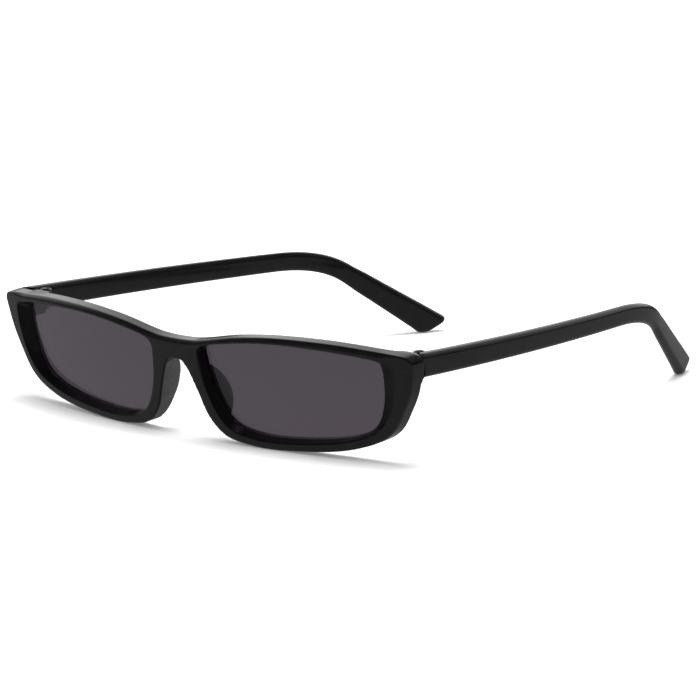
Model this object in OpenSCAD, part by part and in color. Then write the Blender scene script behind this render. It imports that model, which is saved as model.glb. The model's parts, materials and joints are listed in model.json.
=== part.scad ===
// Narrow wrap sunglasses: a moulded front, two tinted lenses and two folding temples.
// Millimetres. X runs across the face with +X to the wearer's left, -Y is the front, +Z is up.
// The frame stands on its two lower rims and its two temple tips, centred over the origin.

/* [Front] */
// Width of one lens opening at the face
eye_w = 54.2; // [50:0.2:58]
// Height of one lens opening at its tallest
eye_h = 25.5; // [23:0.25:29]
// Distance between the two openings, across the nose
bridge_w = 15.6; // [13:0.2:19]
// Width of the rim above the opening
rim_top = 1.6; // [1.2:0.1:2.4]
// Width of the rim below the opening
rim_bottom = 2.05; // [1.4:0.05:2.6]
// Width of the rim beside the nose
rim_nose = 4.2; // [3.8:0.1:5]
// Width of the band outside the opening
rim_side = 5.4; // [4.6:0.1:7]
// Depth of the rim from the face to its back
rim_depth = 4.5; // [4.2:0.1:6]
// Dip of the brow line at the bridge
brow_dip = 3.35; // [2:0.05:5]
// Height of the bridge from the nose arch to the brow line
bridge_h = 5.1; // [3.4:0.1:6]
// Radius of the wrap, seen from above
wrap_r = 220; // [180:5:320]
// Angle that the front leans forwards
tilt = 12; // [6:0.5:15]
// Rise of the rim's top and bottom surfaces towards the back, as an angle
rim_rise = 5; // [0:0.5:8]
// How far the outer wall of the opening slopes in towards the lens
side_draft = 3.7; // [2:0.1:4.5]
// How far the lower wall of the opening slopes in towards the lens
low_draft = 0.4; // [0:0.1:1]
// How far the upper wall of the opening slopes in towards the lens
top_draft = 0.3; // [0.2:0.1:0.6]

/* [Lenses] */
// Depth of the lens face behind the frame's face
lens_depth = 2.5; // [2:0.1:2.8]
// Thickness of a lens
lens_t = 1.4; // [1.2:0.1:1.6]
// How far the lens edge reaches into its groove
lens_seat = 0.5; // [0.4:0.05:0.6]
// Clearance between a lens and its groove
lens_gap = 0.05; // [0.02:0.01:0.1]

/* [Nose pads] */
// How far a pad reaches behind the rim
pad_out = 4.7; // [3:0.1:6]
// Thickness of a pad
pad_t = 1.3; // [1:0.1:1.6]
// Depth of the pad's front edge behind the face
pad_set = 0.5; // [0.4:0.1:2]
// Height of the pad's lower end above the rim's lowest point
pad_low = 2.6; // [2:0.1:5]
// Length of a pad, measured up the rim
pad_len = 16.6; // [12:0.2:17]
// Clearance between a pad and its rebate
pad_gap = 0.04; // [0.02:0.01:0.1]

/* [Temples] */
// Distance from the joint to the start of the bend
temple_run = 88; // [80:0.5:100]
// Distance from the middle of the bend to the end of the tip
temple_tail = 41; // [34:0.1:45]
// Height of a temple at the joint
temple_h = 6; // [5.3:0.1:6.5]
// Height of a temple at the bend
bend_h = 5; // [3.8:0.1:5.4]
// Height of a temple at its tip
tip_h = 7.5; // [5:0.1:8]
// Thickness of a temple at the joint
temple_t = 3.4; // [3.2:0.1:4.4]
// Thickness of a temple at the bend
bend_t = 2.5; // [2.4:0.1:3.8]
// Thickness of a temple at its tip
tip_t = 3.1; // [2.6:0.1:4.4]
// Radius on a temple's long edges
temple_edge = 1; // [0.4:0.1:1.4]
// How far a temple comes in between the joint and the bend
temple_in = 7.6; // [4:0.2:12]
// How far a temple falls between the joint and the bend
temple_fall = 1.4; // [0:0.1:3]
// Reach of the bend on the joint's side of its middle
bend_reach = 15; // [9:0.2:18]
// Reach of the bend on the tip's side of its middle
bend_back = 9; // [6:0.2:15]
// Angle that a tip turns in
tip_in = 22.4; // [12:0.5:28]
// Slant of the tip's end, as its slope against the tip's height
tip_slant = 0.63; // [0:0.01:0.9]
// Radius round the tip's end
tip_edge = 2; // [0.5:0.1:2.4]

/* [Hinges] */
// Radius of a hinge barrel
barrel_r = 1.5; // [1.4:0.05:1.8]
// Height of a hinge, over all three barrels
hinge_h = 4.8; // [4.6:0.1:5.4]
// Height of the middle barrel
middle_h = 2; // [1.6:0.1:2.2]
// Radius of the hinge screw
screw_r = 0.7; // [0.6:0.05:0.85]
// Running clearance round the screw
screw_gap = 0.04; // [0.02:0.01:0.08]
// Clearance between neighbouring barrels
barrel_gap = 0.06; // [0.04:0.01:0.12]
// Radius of the screw's head
head_r = 1.1; // [1:0.05:1.4]
// Height of the screw's head
head_h = 0.3; // [0.2:0.05:0.8]
// Thickness of the leaf that is set into the plastic
leaf_t = 1.1; // [0.9:0.05:1.2]
// Depth of the front leaf in the end piece
front_leaf_len = 3.6; // [3:0.1:4]
// Length of the temple leaf behind the barrel
temple_leaf_len = 8.5; // [6:0.1:12]
// Clearance round a leaf, a pin or a core wire in the plastic
leaf_gap = 0.05; // [0.02:0.01:0.1]
// Radius of the pins that lock the front leaf
pin_r = 0.5; // [0.4:0.05:0.6]
// Radius of the core wire inside a temple
core_r = 0.55; // [0.4:0.05:0.7]
// Gap at the mitre between the end piece and a temple
joint_gap = 0.15; // [0.1:0.01:0.3]
// Depth of the mitre from its outer to its inner edge
mitre = 2.4; // [1.5:0.1:3]
// Clearance between a barrel and the plastic beside it
barrel_room = 0.12; // [0.1:0.01:0.3]

/* [Hidden] */

// Points on each stretch of an outline, and rounds on small cylinders
steps = 4;
$fn = 48;
// Facets of the wide cylinders of the wrap, and a length beyond every edge of the front
wrap_fn = 360;
far = 40;
eps = 0.01;
// How far a cut runs past what it cuts
past = 8;

// Places round an opening, clockwise from the inner top corner and seen from the front. Each row
// holds the place as shares of the opening's width and height, then how far the frame's edge lies
// outside it, as shares of the rim beside the nose or outside, and of the rim above or below.
RIM = [
  [0.00, 0.84, -0.43, 1.60],
  [0.03, 0.895, 0.00, 1.05],
  [0.20, 0.965, 0.00, 0.95],
  [0.42, 1.00, 0.00, 0.95],
  [0.70, 0.97, 0.00, 1.15],
  [0.93, 0.90, 0.00, 1.35],
  [0.985, 0.86, 0.98, 1.10],
  [1.00, 0.80, 1.00, 1.20],
  [1.00, 0.62, 0.83, 0.00],
  [0.975, 0.40, 0.60, -0.15],
  [0.91, 0.20, 0.43, -0.75],
  [0.76, 0.075, 0.10, -1.10],
  [0.45, 0.00, 0.00, -1.00],
  [0.25, 0.01, -0.07, -1.02],
  [0.13, 0.08, -0.52, -0.90],
  [0.07, 0.21, -0.74, -0.40],
  [0.02, 0.46, -0.69, -0.40],
  [0.00, 0.72, -1.00, -0.90]
];
corner_row = 6;
nose_row = 13;

// The opening's inner and outer sides, the end piece's side, the brow line and the nose arch,
// measured across and up the leaning front
open_in = bridge_w / 2;
side_u = open_in + eye_w + rim_side;
brow_w = rim_bottom + eye_h + rim_top;
bridge_top = brow_w - brow_dip;
arch_top = bridge_top - bridge_h;

function rim_across(share) = share * (share < 0 ? rim_nose : rim_side);
function rim_up(share) = share * (share < 0 ? rim_bottom : rim_top);
function opening_point(row) = [open_in + row[0] * eye_w, rim_bottom + row[1] * eye_h];
function edge_point(row) = opening_point(row) + [rim_across(row[2]), rim_up(row[3])];

// A smooth curve through points, with its speed matched to their spacing
function knot(a, b) = sqrt(norm(b - a));
function tangent(a, b, c) = (b - a) / knot(a, b) - (c - a) / (knot(a, b) + knot(b, c)) + (c - b) / knot(b, c);
function blend(b, mb, c, mc, t) =
  (2 * t ^ 3 - 3 * t ^ 2 + 1) * b + (t ^ 3 - 2 * t ^ 2 + t) * mb
  + (3 * t ^ 2 - 2 * t ^ 3) * c + (t ^ 3 - t ^ 2) * mc;
function curve_point(a, b, c, d, t) =
  blend(b, knot(b, c) * tangent(a, b, c), c, knot(b, c) * tangent(b, c, d), t);
function pick(points, i) = points[(i + len(points)) % len(points)];
function smooth_loop(points) = [
  for (i = [0:len(points) - 1])
    for (k = [0:steps - 1])
      curve_point(pick(points, i - 1), pick(points, i), pick(points, i + 1), pick(points, i + 2), k / steps)
];
function smallest(list) = min([for (value = list) value]);
function largest(list) = max([for (value = list) value]);

// The frame's outer edge: one half from the brow line round to the nose arch, and its mirror image
half_edge = concat(
  [[0, bridge_top]],
  [for (row = RIM) edge_point(row)],
  [[0.26 * open_in, arch_top - 0.3], [0, arch_top]]
);
far_half = [for (i = [len(half_edge) - 2:-1:1]) [-half_edge[i][0], half_edge[i][1]]];
edge_loop = smooth_loop(concat(half_edge, far_half));
// The nose side of that edge, as its distance across for each height
nose_edge = [
  for (i = [(nose_row + 1) * steps:(len(half_edge) - 2) * steps]) [edge_loop[i][1], edge_loop[i][0]]
];

// The opening at the face, at the lens and behind it
opening = smooth_loop([for (row = RIM) opening_point(row)]);
function share_across(p) = (p[0] - open_in) / eye_w;
function share_up(p) = (p[1] - rim_bottom) / eye_h;
function outer_share(p) = max(0, (share_across(p) - 0.7) / 0.3) ^ 1.5;
function lower_share(p) = max(0, 1 - share_up(p) / 0.3);
function upper_share(p) = min(1, max(0, (share_up(p) - 0.75) / 0.12));
function lens_shift(p) = [-side_draft * outer_share(p), low_draft * lower_share(p) - top_draft * upper_share(p)];
// How far the opening widens again behind the lens
back_flare = 1.5;
lens_opening = [for (p = opening) p + lens_shift(p)];
back_opening = [for (p = lens_opening) p + [back_flare * outer_share(p), 0]];

// A loop grown outwards by a distance
function grown(loop, by) = [
  for (i = [0:len(loop) - 1])
    let (run = pick(loop, i + 1) - pick(loop, i - 1))
      loop[i] + by * [-run[1], run[0]] / norm(run)
];

// Depth of the wrapped face, and of a surface a given distance behind it
function wrap_v(u, behind = 0) = wrap_r - sqrt((wrap_r - behind) ^ 2 - u ^ 2);

// From the leaning front to the upright frame, standing on its lowest rim
front_lift = -smallest([for (p = edge_loop) wrap_v(p[0]) * sin(tilt) + p[1] * cos(tilt)]);
function upright(p) = [
  p[0],
  p[1] * cos(tilt) - p[2] * sin(tilt),
  p[1] * sin(tilt) + p[2] * cos(tilt) + front_lift
];
corner = edge_point(RIM[corner_row]);
joint_top = upright([corner[0], wrap_v(corner[0]), corner[1]])[2];
// How far a temple stands above the end piece, and the height of the hinge's middle
temple_step = 0.6;
hinge_z = joint_top + temple_step - temple_h / 2;
// The mitre's outer edge on the end piece, across and behind the leaning front
mitre_v = wrap_v(side_u, rim_depth);
hinge_w = (hinge_z - front_lift - mitre_v * sin(tilt)) / cos(tilt);
joint_y = upright([side_u, mitre_v, hinge_w])[1];
// Back face of the end piece, and the hinge's axis
block_y = joint_y + mitre;
hinge_x = side_u - temple_t - barrel_room - barrel_r;
hinge_y = block_y + 0.3 + barrel_r;
block_low = hinge_z - temple_h / 2;
// Height of the part of the front leaf that lies in the plastic, and how far it comes out behind
leaf_h = hinge_h - 1;
leaf_lap = 0.15;

// The temple's centre line: a slow curve from the joint to the bend, the bend and the tail
temple_start = [side_u - temple_t / 2, joint_y - 1.5, hinge_z];
bend_start = temple_start + [-temple_in, temple_run, -temple_fall];
run_control = temple_start + [0, temple_run / 2, -temple_fall / 2];
bend_middle = bend_start + bend_reach * (bend_start - run_control) / norm(bend_start - run_control);
// The tail drops at the angle that lands the tip's lower corner on the table. A first guess at the
// angle gives how far the corner's round reaches below its middle.
heel_run = temple_tail - tip_slant * (tip_h / 2 - tip_edge) - tip_edge;
heel_drop = tip_h / 2 - tip_edge;
drop_guess = 31;
heel_reach = tip_edge * norm([sin(drop_guess), cos(drop_guess) - tip_slant * sin(drop_guess)]);
tip_drop = asin((bend_middle[2] - heel_reach) / norm([heel_run, heel_drop])) - atan2(heel_drop, heel_run);
tail_way = [-sin(tip_in) * cos(tip_drop), cos(tip_in) * cos(tip_drop), -sin(tip_drop)];
bend_end = bend_middle + bend_back * tail_way;

function bezier(a, b, c, t) = (1 - t) ^ 2 * a + 2 * t * (1 - t) * b + t ^ 2 * c;
function bezier_way(a, b, c, t) = (1 - t) * (b - a) + t * (c - b);
function unit(a) = a / norm(a);
// A station along the temple: its place, its direction and its share of the way to the bend or tip
function run_station(t) = [
  bezier(temple_start, run_control, bend_start, t),
  unit(bezier_way(temple_start, run_control, bend_start, t)),
  t
];
function bend_station(t) = [
  bezier(bend_start, bend_middle, bend_end, t),
  unit(bezier_way(bend_start, bend_middle, bend_end, t)),
  1 + t
];
function tail_station(along) = [bend_middle + along * tail_way, tail_way, 2 + along / temple_tail];
function mixed(a, b, t) = a + (b - a) * min(1, max(0, t));
function along(start, bend, tip, share) =
  share < 1 ? mixed(start, bend, share) : mixed(bend, tip, max(0, share - 2) ^ 1.4);
function height_at(share) = along(temple_h, bend_h, tip_h, share);
function thickness_at(share) = along(temple_t, bend_t, tip_t, share);

// Share of the tip's rounding that is taken off its thickness
tip_thin = 0.45;

run_steps = 12;
bend_steps = 9;
tail_shares = [0.35, 0.5, 0.7, 0.85];
temple_line = concat(
  [for (i = [0:run_steps - 1]) run_station(i / run_steps)],
  [for (i = [0:bend_steps]) bend_station(i / bend_steps)],
  [for (share = tail_shares) tail_station(share * temple_tail)]
);

// A ring of points across a station: x goes sideways and out, y goes up, slant leans its top back
function across_way(way) = unit(cross(way, [0, 0, 1]));
function ring(station, shape, slant = 0) =
  let (side = across_way(station[1]), up = cross(side, station[1]))
    [for (p = shape) station[0] + p[0] * side + p[1] * up + slant * p[1] * station[1]];
function rounded(half_x, half_y, r, n) = [
  for (i = [0:3])
    for (k = [0:n - 1])
      let (turn = 90 * (i + k / (n - 1)))
        [(i < 2 ? 1 : -1) * (half_x - r) + r * sin(turn), (i == 0 || i == 3 ? 1 : -1) * (half_y - r) + r * cos(turn)]
];
function temple_shape(share, inset = 0) =
  let (thin = tip_thin * inset)
    rounded(thickness_at(share) / 2 - thin, height_at(share) / 2 - inset, max(0.15, temple_edge - thin), 4);
// The tip's rounded end: the ring draws in as it nears the end
function tip_ring(turn) = let (inset = tip_edge * (1 - cos(turn)))
  ring(tail_station(temple_tail - tip_edge * (1 - sin(turn))), temple_shape(3, inset), tip_slant);
temple_rings = concat(
  [for (station = temple_line) ring(station, temple_shape(station[2]))],
  [for (turn = [0:22.5:90]) tip_ring(turn)]
);

// The core wire starts behind the hinge leaf and stops short of the tip
core_start = (hinge_y + temple_leaf_len + 2 * leaf_gap - temple_start[1]) / temple_run;
core_steps = 10;
core_short = 7;
core_line = concat(
  [for (i = [0:core_steps - 1]) run_station(core_start + (1 - core_start) * i / core_steps)],
  [for (i = [0:bend_steps]) bend_station(i / bend_steps)],
  [tail_station(temple_tail - core_short)]
);
function round_shape(r) = [for (i = [0:7]) r * [sin(45 * i), cos(45 * i)]];
function core_rings(grow) = [for (station = core_line) ring(station, round_shape(core_r + grow))];

// Middle of the whole frame, front to back
front_reach = smallest([for (p = edge_loop) upright([p[0], wrap_v(p[0]), p[1]])[1]]);
tip_reach = largest([for (loop = temple_rings) for (p = loop) p[1]]);
middle_y = (front_reach + tip_reach) / 2;

// A nose pad's section at a height: its front edge, its flare away from the nose and its back edge
pad_flare = 0.22;
pad_rings = 15;
// How far the rim's surfaces sink behind the face, for each millimetre of depth
rim_sink = tan(tilt - rim_rise);
function pad_back(q) = pad_out * sin(180 * q ^ 1.15) ^ 0.6;
function pad_section(q, grow = 0, spill = 0) =
  let (
    w = pad_low + q * pad_len,
    nose = lookup(w, nose_edge),
    front = wrap_v(nose) + pad_set - grow,
    back = wrap_v(nose, rim_depth) + pad_back(q) + grow,
    half = pad_t / 2 + grow,
    lean = pad_flare * (back - half - front),
    rear_nose = lookup(w + rim_sink * rim_depth, nose_edge),
    middle = [rear_nose + pad_t / 2 + lean, back - half]
  ) concat(
    [[nose - grow - spill, front, w], [nose + pad_t + grow, front, w]],
    [for (turn = [0:36:144]) [middle[0] + half * cos(turn), middle[1] + half * sin(turn), w]],
    [[middle[0] - half - spill, middle[1], w]]
  );
function pad_stack(grow = 0, spill = 0) = [for (i = [0:pad_rings]) pad_section(i / pad_rings, grow, spill)];
function raised(loops, by) = [
  for (i = [0:len(loops) - 1])
    let (z_by = i == 0 ? -by : i == len(loops) - 1 ? by : 0) [for (p = loops[i]) p + [0, 0, z_by]]
];

// A closed skin over rings of points that turn clockwise as seen from the first ring
module skin(loops) {
  n = len(loops[0]);
  last = len(loops) - 1;
  all_points = [for (loop = loops) for (p = loop) p];
  ends = [for (i = [0, last]) [for (axis = [0:2]) let (list = loops[i]) sum_of([for (p = list) p[axis]]) / n]];
  sides = [
    for (r = [0:last - 1]) for (k = [0:n - 1])
      let (a = r * n + k, b = r * n + (k + 1) % n)
        for (face = [[a, b + n, b], [a, a + n, b + n]]) face
  ];
  first_cap = [for (k = [0:n - 1]) [len(all_points), k, (k + 1) % n]];
  last_cap = [for (k = [0:n - 1]) [len(all_points) + 1, last * n + (k + 1) % n, last * n + k]];
  polyhedron(concat(all_points, ends), concat(sides, first_cap, last_cap), convexity = 8);
}
function sum_of(list, i = 0) = i < len(list) ? list[i] + sum_of(list, i + 1) : 0;

// Placing: a piece of the leaning front, a piece of the upright frame, and either side of the face
module leaning() {
  translate([0, -middle_y, front_lift]) rotate([tilt, 0, 0]) children();
}
module standing() {
  translate([0, -middle_y, 0]) children();
}
module left() {
  children();
}
module right() {
  mirror([1, 0, 0]) children();
}

// The frame's edge as it is seen along the rise of the rim, and the rim pushed back that way
rim_loop = [
  for (p = edge_loop)
    let (q = upright([p[0], wrap_v(p[0]), p[1]])) [q[0], q[2] * cos(rim_rise) - q[1] * sin(rim_rise)]
];
module rim_body() {
  standing() rotate([rim_rise, 0, 0]) slab(rim_loop, -2 * middle_y, 2 * middle_y);
}

// A flat outline pushed through the front, from one depth to another
module slab(loop, from, to) {
  translate([0, to, 0]) rotate([90, 0, 0]) linear_extrude(to - from) polygon(loop);
}
// The space between two depths behind the wrapped face
module wrapped(from, to) {
  translate([0, wrap_r, -far]) difference() {
    cylinder(h = 3 * far, r = wrap_r - from, $fn = wrap_fn);
    translate([0, 0, -eps]) cylinder(h = 3 * far + 2 * eps, r = wrap_r - to, $fn = wrap_fn);
  }
}
function at_depth(loop, behind) = [for (p = loop) [p[0], wrap_v(p[0]) + behind, p[1]]];

// The space of one lens opening, from before the face to behind the end piece
module opening_space() {
  skin([
    at_depth(opening, -4),
    at_depth(opening, 0.3),
    at_depth(lens_opening, lens_depth),
    at_depth(back_opening, lens_depth + past),
    at_depth(back_opening, far / 2)
  ]);
}
// The groove that holds a lens, and the lens itself
module lens_space(grow) {
  intersection() {
    slab(grown(lens_opening, lens_seat + grow), -5, far);
    wrapped(lens_depth - grow, lens_depth + lens_t + grow);
  }
}

// The end piece behind the rim, which carries the hinge, and the ledge that leads to it
ledge_start = 40;
ledge_end = 50;
// How far the end piece stays back beside a temple's inner face
mitre_in = 0.35;
module end_block() {
  block_v = mitre_v + mitre;
  outline = [
    [ledge_start, wrap_v(ledge_start, rim_depth) - 1],
    [ledge_end, block_v - 1.4],
    [side_u - temple_t - rim_side, block_v + 2],
    [side_u - temple_t - mitre_in, block_v + 2],
    [side_u - temple_t - mitre_in, block_v],
    [side_u - temple_t, block_v],
    [side_u, mitre_v],
    [side_u, wrap_v(side_u, rim_depth) - 1],
    [ledge_end, wrap_v(ledge_end, rim_depth) - 1]
  ];
  intersection() {
    leaning() translate([0, 0, -far]) linear_extrude(3 * far) polygon(outline);
    standing() translate([0, -far, block_low]) cube([2 * far, 2 * far, joint_top - block_low]);
  }
}
// Everything in front of the mitre, which a temple's end is cut by
module mitre_space() {
  block_v = mitre_v + mitre + joint_gap;
  slope = mitre / temple_t;
  outline = [
    [side_u + 5, mitre_v + joint_gap - 5 * slope],
    [side_u - temple_t - 5, block_v + 5 * slope],
    [side_u - temple_t - 5, -far],
    [side_u + 5, -far]
  ];
  translate([0, 0, -far]) linear_extrude(3 * far) polygon(outline);
}

// Slots, bores and rebates that the other pieces sit in
module front_leaf_space(grow) {
  translate([hinge_x - leaf_t / 2 - grow, block_y - front_leaf_len - grow, hinge_z - leaf_h / 2 - grow])
    cube([leaf_t + 2 * grow, front_leaf_len + leaf_lap + grow, leaf_h + 2 * grow]);
}
pin_y = block_y - front_leaf_len * 0.6;
pin_spread = leaf_h * 0.27;
pin_start = hinge_x - barrel_r - 0.6;
pin_end = hinge_x + leaf_t / 2 + 1;
module pin_pair(r, from, to) {
  for (way = [-1, 1])
    translate([from, pin_y, hinge_z + way * pin_spread]) rotate([0, 90, 0]) cylinder(h = to - from, r = r);
}
module one_side_cuts() {
  leaning() opening_space();
  leaning() lens_space(lens_gap);
  leaning() skin(raised(pad_stack(pad_gap, 4), pad_gap));
  standing() front_leaf_space(leaf_gap);
  standing() pin_pair(pin_r + leaf_gap, pin_start - past, pin_end + leaf_gap);
  standing() translate([ledge_start, block_y, 0]) cube([far, far, far]);
}

module front_frame() {
  color([0.09, 0.09, 0.09]) difference() {
    intersection() {
      rim_body();
      union() {
        leaning() wrapped(0, rim_depth);
        left() end_block();
        right() end_block();
      }
    }
    left() one_side_cuts();
    right() one_side_cuts();
  }
}

module lens() {
  color([0.42, 0.40, 0.42, 0.6]) leaning() lens_space(0);
}

module nose_pad() {
  color([0.3, 0.3, 0.29]) leaning() skin(pad_stack());
}

// Hinges. The front leaf has the upper and lower barrels, the temple leaf the middle one.
outer_h = (hinge_h - middle_h) / 2 - barrel_gap;
module barrel(low, high) {
  translate([hinge_x, hinge_y, low]) cylinder(h = high - low, r = barrel_r);
}
module screw_bore() {
  translate([hinge_x, hinge_y, hinge_z - hinge_h]) cylinder(h = 2 * hinge_h, r = screw_r + screw_gap);
}
module front_hinge() {
  low = hinge_z - hinge_h / 2;
  high = hinge_z + hinge_h / 2;
  color([0.55, 0.55, 0.56]) standing() difference() {
    union() {
      front_leaf_space(0);
      for (span = [[low, low + outer_h], [high - outer_h, high]]) {
        barrel(span[0], span[1]);
        translate([hinge_x - leaf_t / 2, block_y + leaf_gap, span[0]])
          cube([leaf_t, hinge_y - block_y - leaf_gap, span[1] - span[0]]);
      }
    }
    screw_bore();
    pin_pair(pin_r + leaf_gap, pin_start - past, pin_end + past);
  }
}
module front_hinge_pins() {
  color([0.5, 0.5, 0.52]) standing() pin_pair(pin_r, pin_start, pin_end);
}
module hinge_screw() {
  slot_w = 0.35;
  slot_deep = head_h * 0.6;
  top = hinge_z + hinge_h / 2 + head_h;
  color([0.6, 0.6, 0.62]) standing() difference() {
    union() {
      translate([hinge_x, hinge_y, hinge_z - hinge_h / 2]) cylinder(h = hinge_h + eps, r = screw_r);
      translate([hinge_x, hinge_y, top - head_h]) cylinder(h = head_h, r = head_r);
    }
    translate([hinge_x - 2 * head_r, hinge_y - slot_w / 2, top - slot_deep])
      cube([4 * head_r, slot_w, slot_deep + 1]);
  }
}

// The temple leaf: a web from the middle barrel to a tongue inside the temple
tongue_h = 3.4;
web_y = 1.2;
tongue_x = temple_start[0] - leaf_t / 2;
module temple_leaf_space(grow) {
  translate([hinge_x, hinge_y - grow, hinge_z - middle_h / 2 - grow])
    cube([tongue_x + leaf_t - hinge_x + grow, web_y + 2 * grow, middle_h + 2 * grow]);
  translate([tongue_x - grow, hinge_y - grow, hinge_z - tongue_h / 2 - grow])
    cube([leaf_t + 2 * grow, temple_leaf_len + 2 * grow, tongue_h + 2 * grow]);
}
module temple_hinge() {
  color([0.55, 0.55, 0.56]) standing() difference() {
    union() {
      barrel(hinge_z - middle_h / 2, hinge_z + middle_h / 2);
      temple_leaf_space(0);
    }
    screw_bore();
  }
}
module temple_core() {
  color([0.6, 0.6, 0.62]) standing() skin(core_rings(0));
}
module temple() {
  color([0.1, 0.1, 0.1]) difference() {
    standing() skin(temple_rings);
    leaning() mitre_space();
    standing() temple_leaf_space(leaf_gap);
    standing() skin(core_rings(leaf_gap));
  }
}

front_frame();
left() lens();  // lens_left
right() lens();  // lens_right
left() nose_pad();  // nose_pad_left
right() nose_pad();  // nose_pad_right
left() front_hinge();  // front_hinge_left
right() front_hinge();  // front_hinge_right
left() front_hinge_pins();  // front_hinge_pins_left
right() front_hinge_pins();  // front_hinge_pins_right
left() hinge_screw();  // hinge_screw_left
right() hinge_screw();  // hinge_screw_right
left() temple();  // temple_left
right() temple();  // temple_right
left() temple_hinge();  // temple_hinge_left
right() temple_hinge();  // temple_hinge_right
left() temple_core();  // temple_core_left
right() temple_core();  // temple_core_right
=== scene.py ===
"""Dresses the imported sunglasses: moulded front, nose pads, smoke lenses, hinges and temples.

Sizes are millimetres in the upright frame that the solids are drawn in. Each piece is moved into
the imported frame, in metres, when it becomes an object.
"""

import json
import logging
import math
from collections.abc import Callable
from dataclasses import dataclass, field, replace
from enum import Enum

import bmesh
import bpy
import numpy as np
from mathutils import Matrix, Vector


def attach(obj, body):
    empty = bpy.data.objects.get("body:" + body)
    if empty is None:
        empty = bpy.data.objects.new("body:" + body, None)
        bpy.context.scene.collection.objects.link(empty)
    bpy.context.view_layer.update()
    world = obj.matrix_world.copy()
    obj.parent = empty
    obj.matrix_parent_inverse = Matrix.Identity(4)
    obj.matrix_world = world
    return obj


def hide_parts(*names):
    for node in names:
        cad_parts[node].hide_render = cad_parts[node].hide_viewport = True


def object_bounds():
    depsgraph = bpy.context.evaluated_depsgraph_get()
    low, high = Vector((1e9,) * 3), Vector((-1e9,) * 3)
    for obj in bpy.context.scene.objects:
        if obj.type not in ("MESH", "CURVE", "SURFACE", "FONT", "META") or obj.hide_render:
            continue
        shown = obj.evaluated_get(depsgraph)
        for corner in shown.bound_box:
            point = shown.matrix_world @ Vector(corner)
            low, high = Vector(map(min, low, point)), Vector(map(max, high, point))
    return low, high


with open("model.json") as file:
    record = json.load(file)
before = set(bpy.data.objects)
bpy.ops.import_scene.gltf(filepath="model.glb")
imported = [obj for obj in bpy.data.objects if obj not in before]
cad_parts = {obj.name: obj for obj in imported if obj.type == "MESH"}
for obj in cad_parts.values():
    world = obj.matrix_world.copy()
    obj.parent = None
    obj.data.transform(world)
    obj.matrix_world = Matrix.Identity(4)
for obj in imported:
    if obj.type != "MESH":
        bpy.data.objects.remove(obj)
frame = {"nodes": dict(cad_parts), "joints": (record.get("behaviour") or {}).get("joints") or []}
CAD_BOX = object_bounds()

LOG = logging.getLogger("sunglasses")
MM = 0.001
Solid = Callable[[np.ndarray], np.ndarray]
# Points that a smooth outline gets between two of its places
FINE_STEPS = 14
# Points closer than this are merged, in metres
MERGE_M = 1e-7
# The part of a noise's values that is spread over a finish's range
NOISE_SPAN = (0.3, 0.7)
# The specular level of a plain surface
PLAIN_SHINE = 0.5

# Places round an opening: shares of its width and height, then the frame's edge outside it as
# shares of the rim beside the nose or outside, and of the rim above or below.
RIM_PLACES = np.array([
    (0.00, 0.84, -0.43, 1.60), (0.03, 0.895, 0.00, 1.05), (0.20, 0.965, 0.00, 0.95),
    (0.42, 1.00, 0.00, 0.95), (0.70, 0.97, 0.00, 1.15), (0.93, 0.90, 0.00, 1.35),
    (0.985, 0.86, 0.98, 1.10), (1.00, 0.80, 1.00, 1.20), (1.00, 0.62, 0.83, 0.00),
    (0.975, 0.40, 0.60, -0.15), (0.91, 0.20, 0.43, -0.75), (0.76, 0.075, 0.10, -1.10),
    (0.45, 0.00, 0.00, -1.00), (0.25, 0.01, -0.07, -1.02), (0.13, 0.08, -0.52, -0.90),
    (0.07, 0.21, -0.74, -0.40), (0.02, 0.46, -0.69, -0.40), (0.00, 0.72, -1.00, -0.90),
])
# The row at the frame's upper outer corner, and the first one of the nose wall
CORNER_ROW = 6
NOSE_ROW = 13


class Side(Enum):
    """The wearer's left and right, as the sign of X."""

    LEFT = 1
    RIGHT = -1

    @property
    def word(self) -> str:
        """The side's name as it ends a node's name."""
        return self.name.lower()

    @property
    def temple_body(self) -> str:
        """The body that the side's temple folds with."""
        return f"{self.word}_temple"


def smooth_loop(points: np.ndarray, steps: int = FINE_STEPS) -> np.ndarray:
    """Draws a smooth closed curve through points, its speed matched to their spacing.

    Args:
        points: The points, one row each.
        steps: How many points each stretch between two of them gets.

    Returns:
        The curve's points.
    """
    t = (np.arange(steps) / steps)[:, None]
    stretches = []
    for i in range(len(points)):
        a, b, c, d = (points[(i + k) % len(points)] for k in (-1, 0, 1, 2))
        ab, bc, cd = (math.sqrt(np.linalg.norm(q - p)) for p, q in ((a, b), (b, c), (c, d)))
        at_b = bc * ((b - a) / ab - (c - a) / (ab + bc) + (c - b) / bc)
        at_c = bc * ((c - b) / bc - (d - b) / (bc + cd) + (d - c) / cd)
        stretches.append(
            (2 * t**3 - 3 * t**2 + 1) * b + (t**3 - 2 * t**2 + t) * at_b
            + (3 * t**2 - 2 * t**3) * c + (t**3 - t**2) * at_c
        )
    return np.concatenate(stretches)


def meet(a: np.ndarray, b: np.ndarray, radius: float | np.ndarray) -> np.ndarray:
    """The distance to what two solids share, with a rounded edge.

    Args:
        a: Signed distance to the first solid.
        b: Signed distance to the second solid.
        radius: Radius of the edge where they meet.

    Returns:
        The signed distance.
    """
    rounded = np.hypot(np.maximum(a + radius, 0), np.maximum(b + radius, 0))
    return np.minimum(np.maximum(a, b), -radius) + rounded


def join(a: np.ndarray, b: np.ndarray, radius: float) -> np.ndarray:
    """The distance to two solids together, with a fillet between them.

    Args:
        a: Signed distance to the first solid.
        b: Signed distance to the second solid.
        radius: Radius of the fillet.

    Returns:
        The signed distance.
    """
    filleted = np.hypot(np.maximum(radius - a, 0), np.maximum(radius - b, 0))
    return np.maximum(np.minimum(a, b), radius) - filleted


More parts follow.
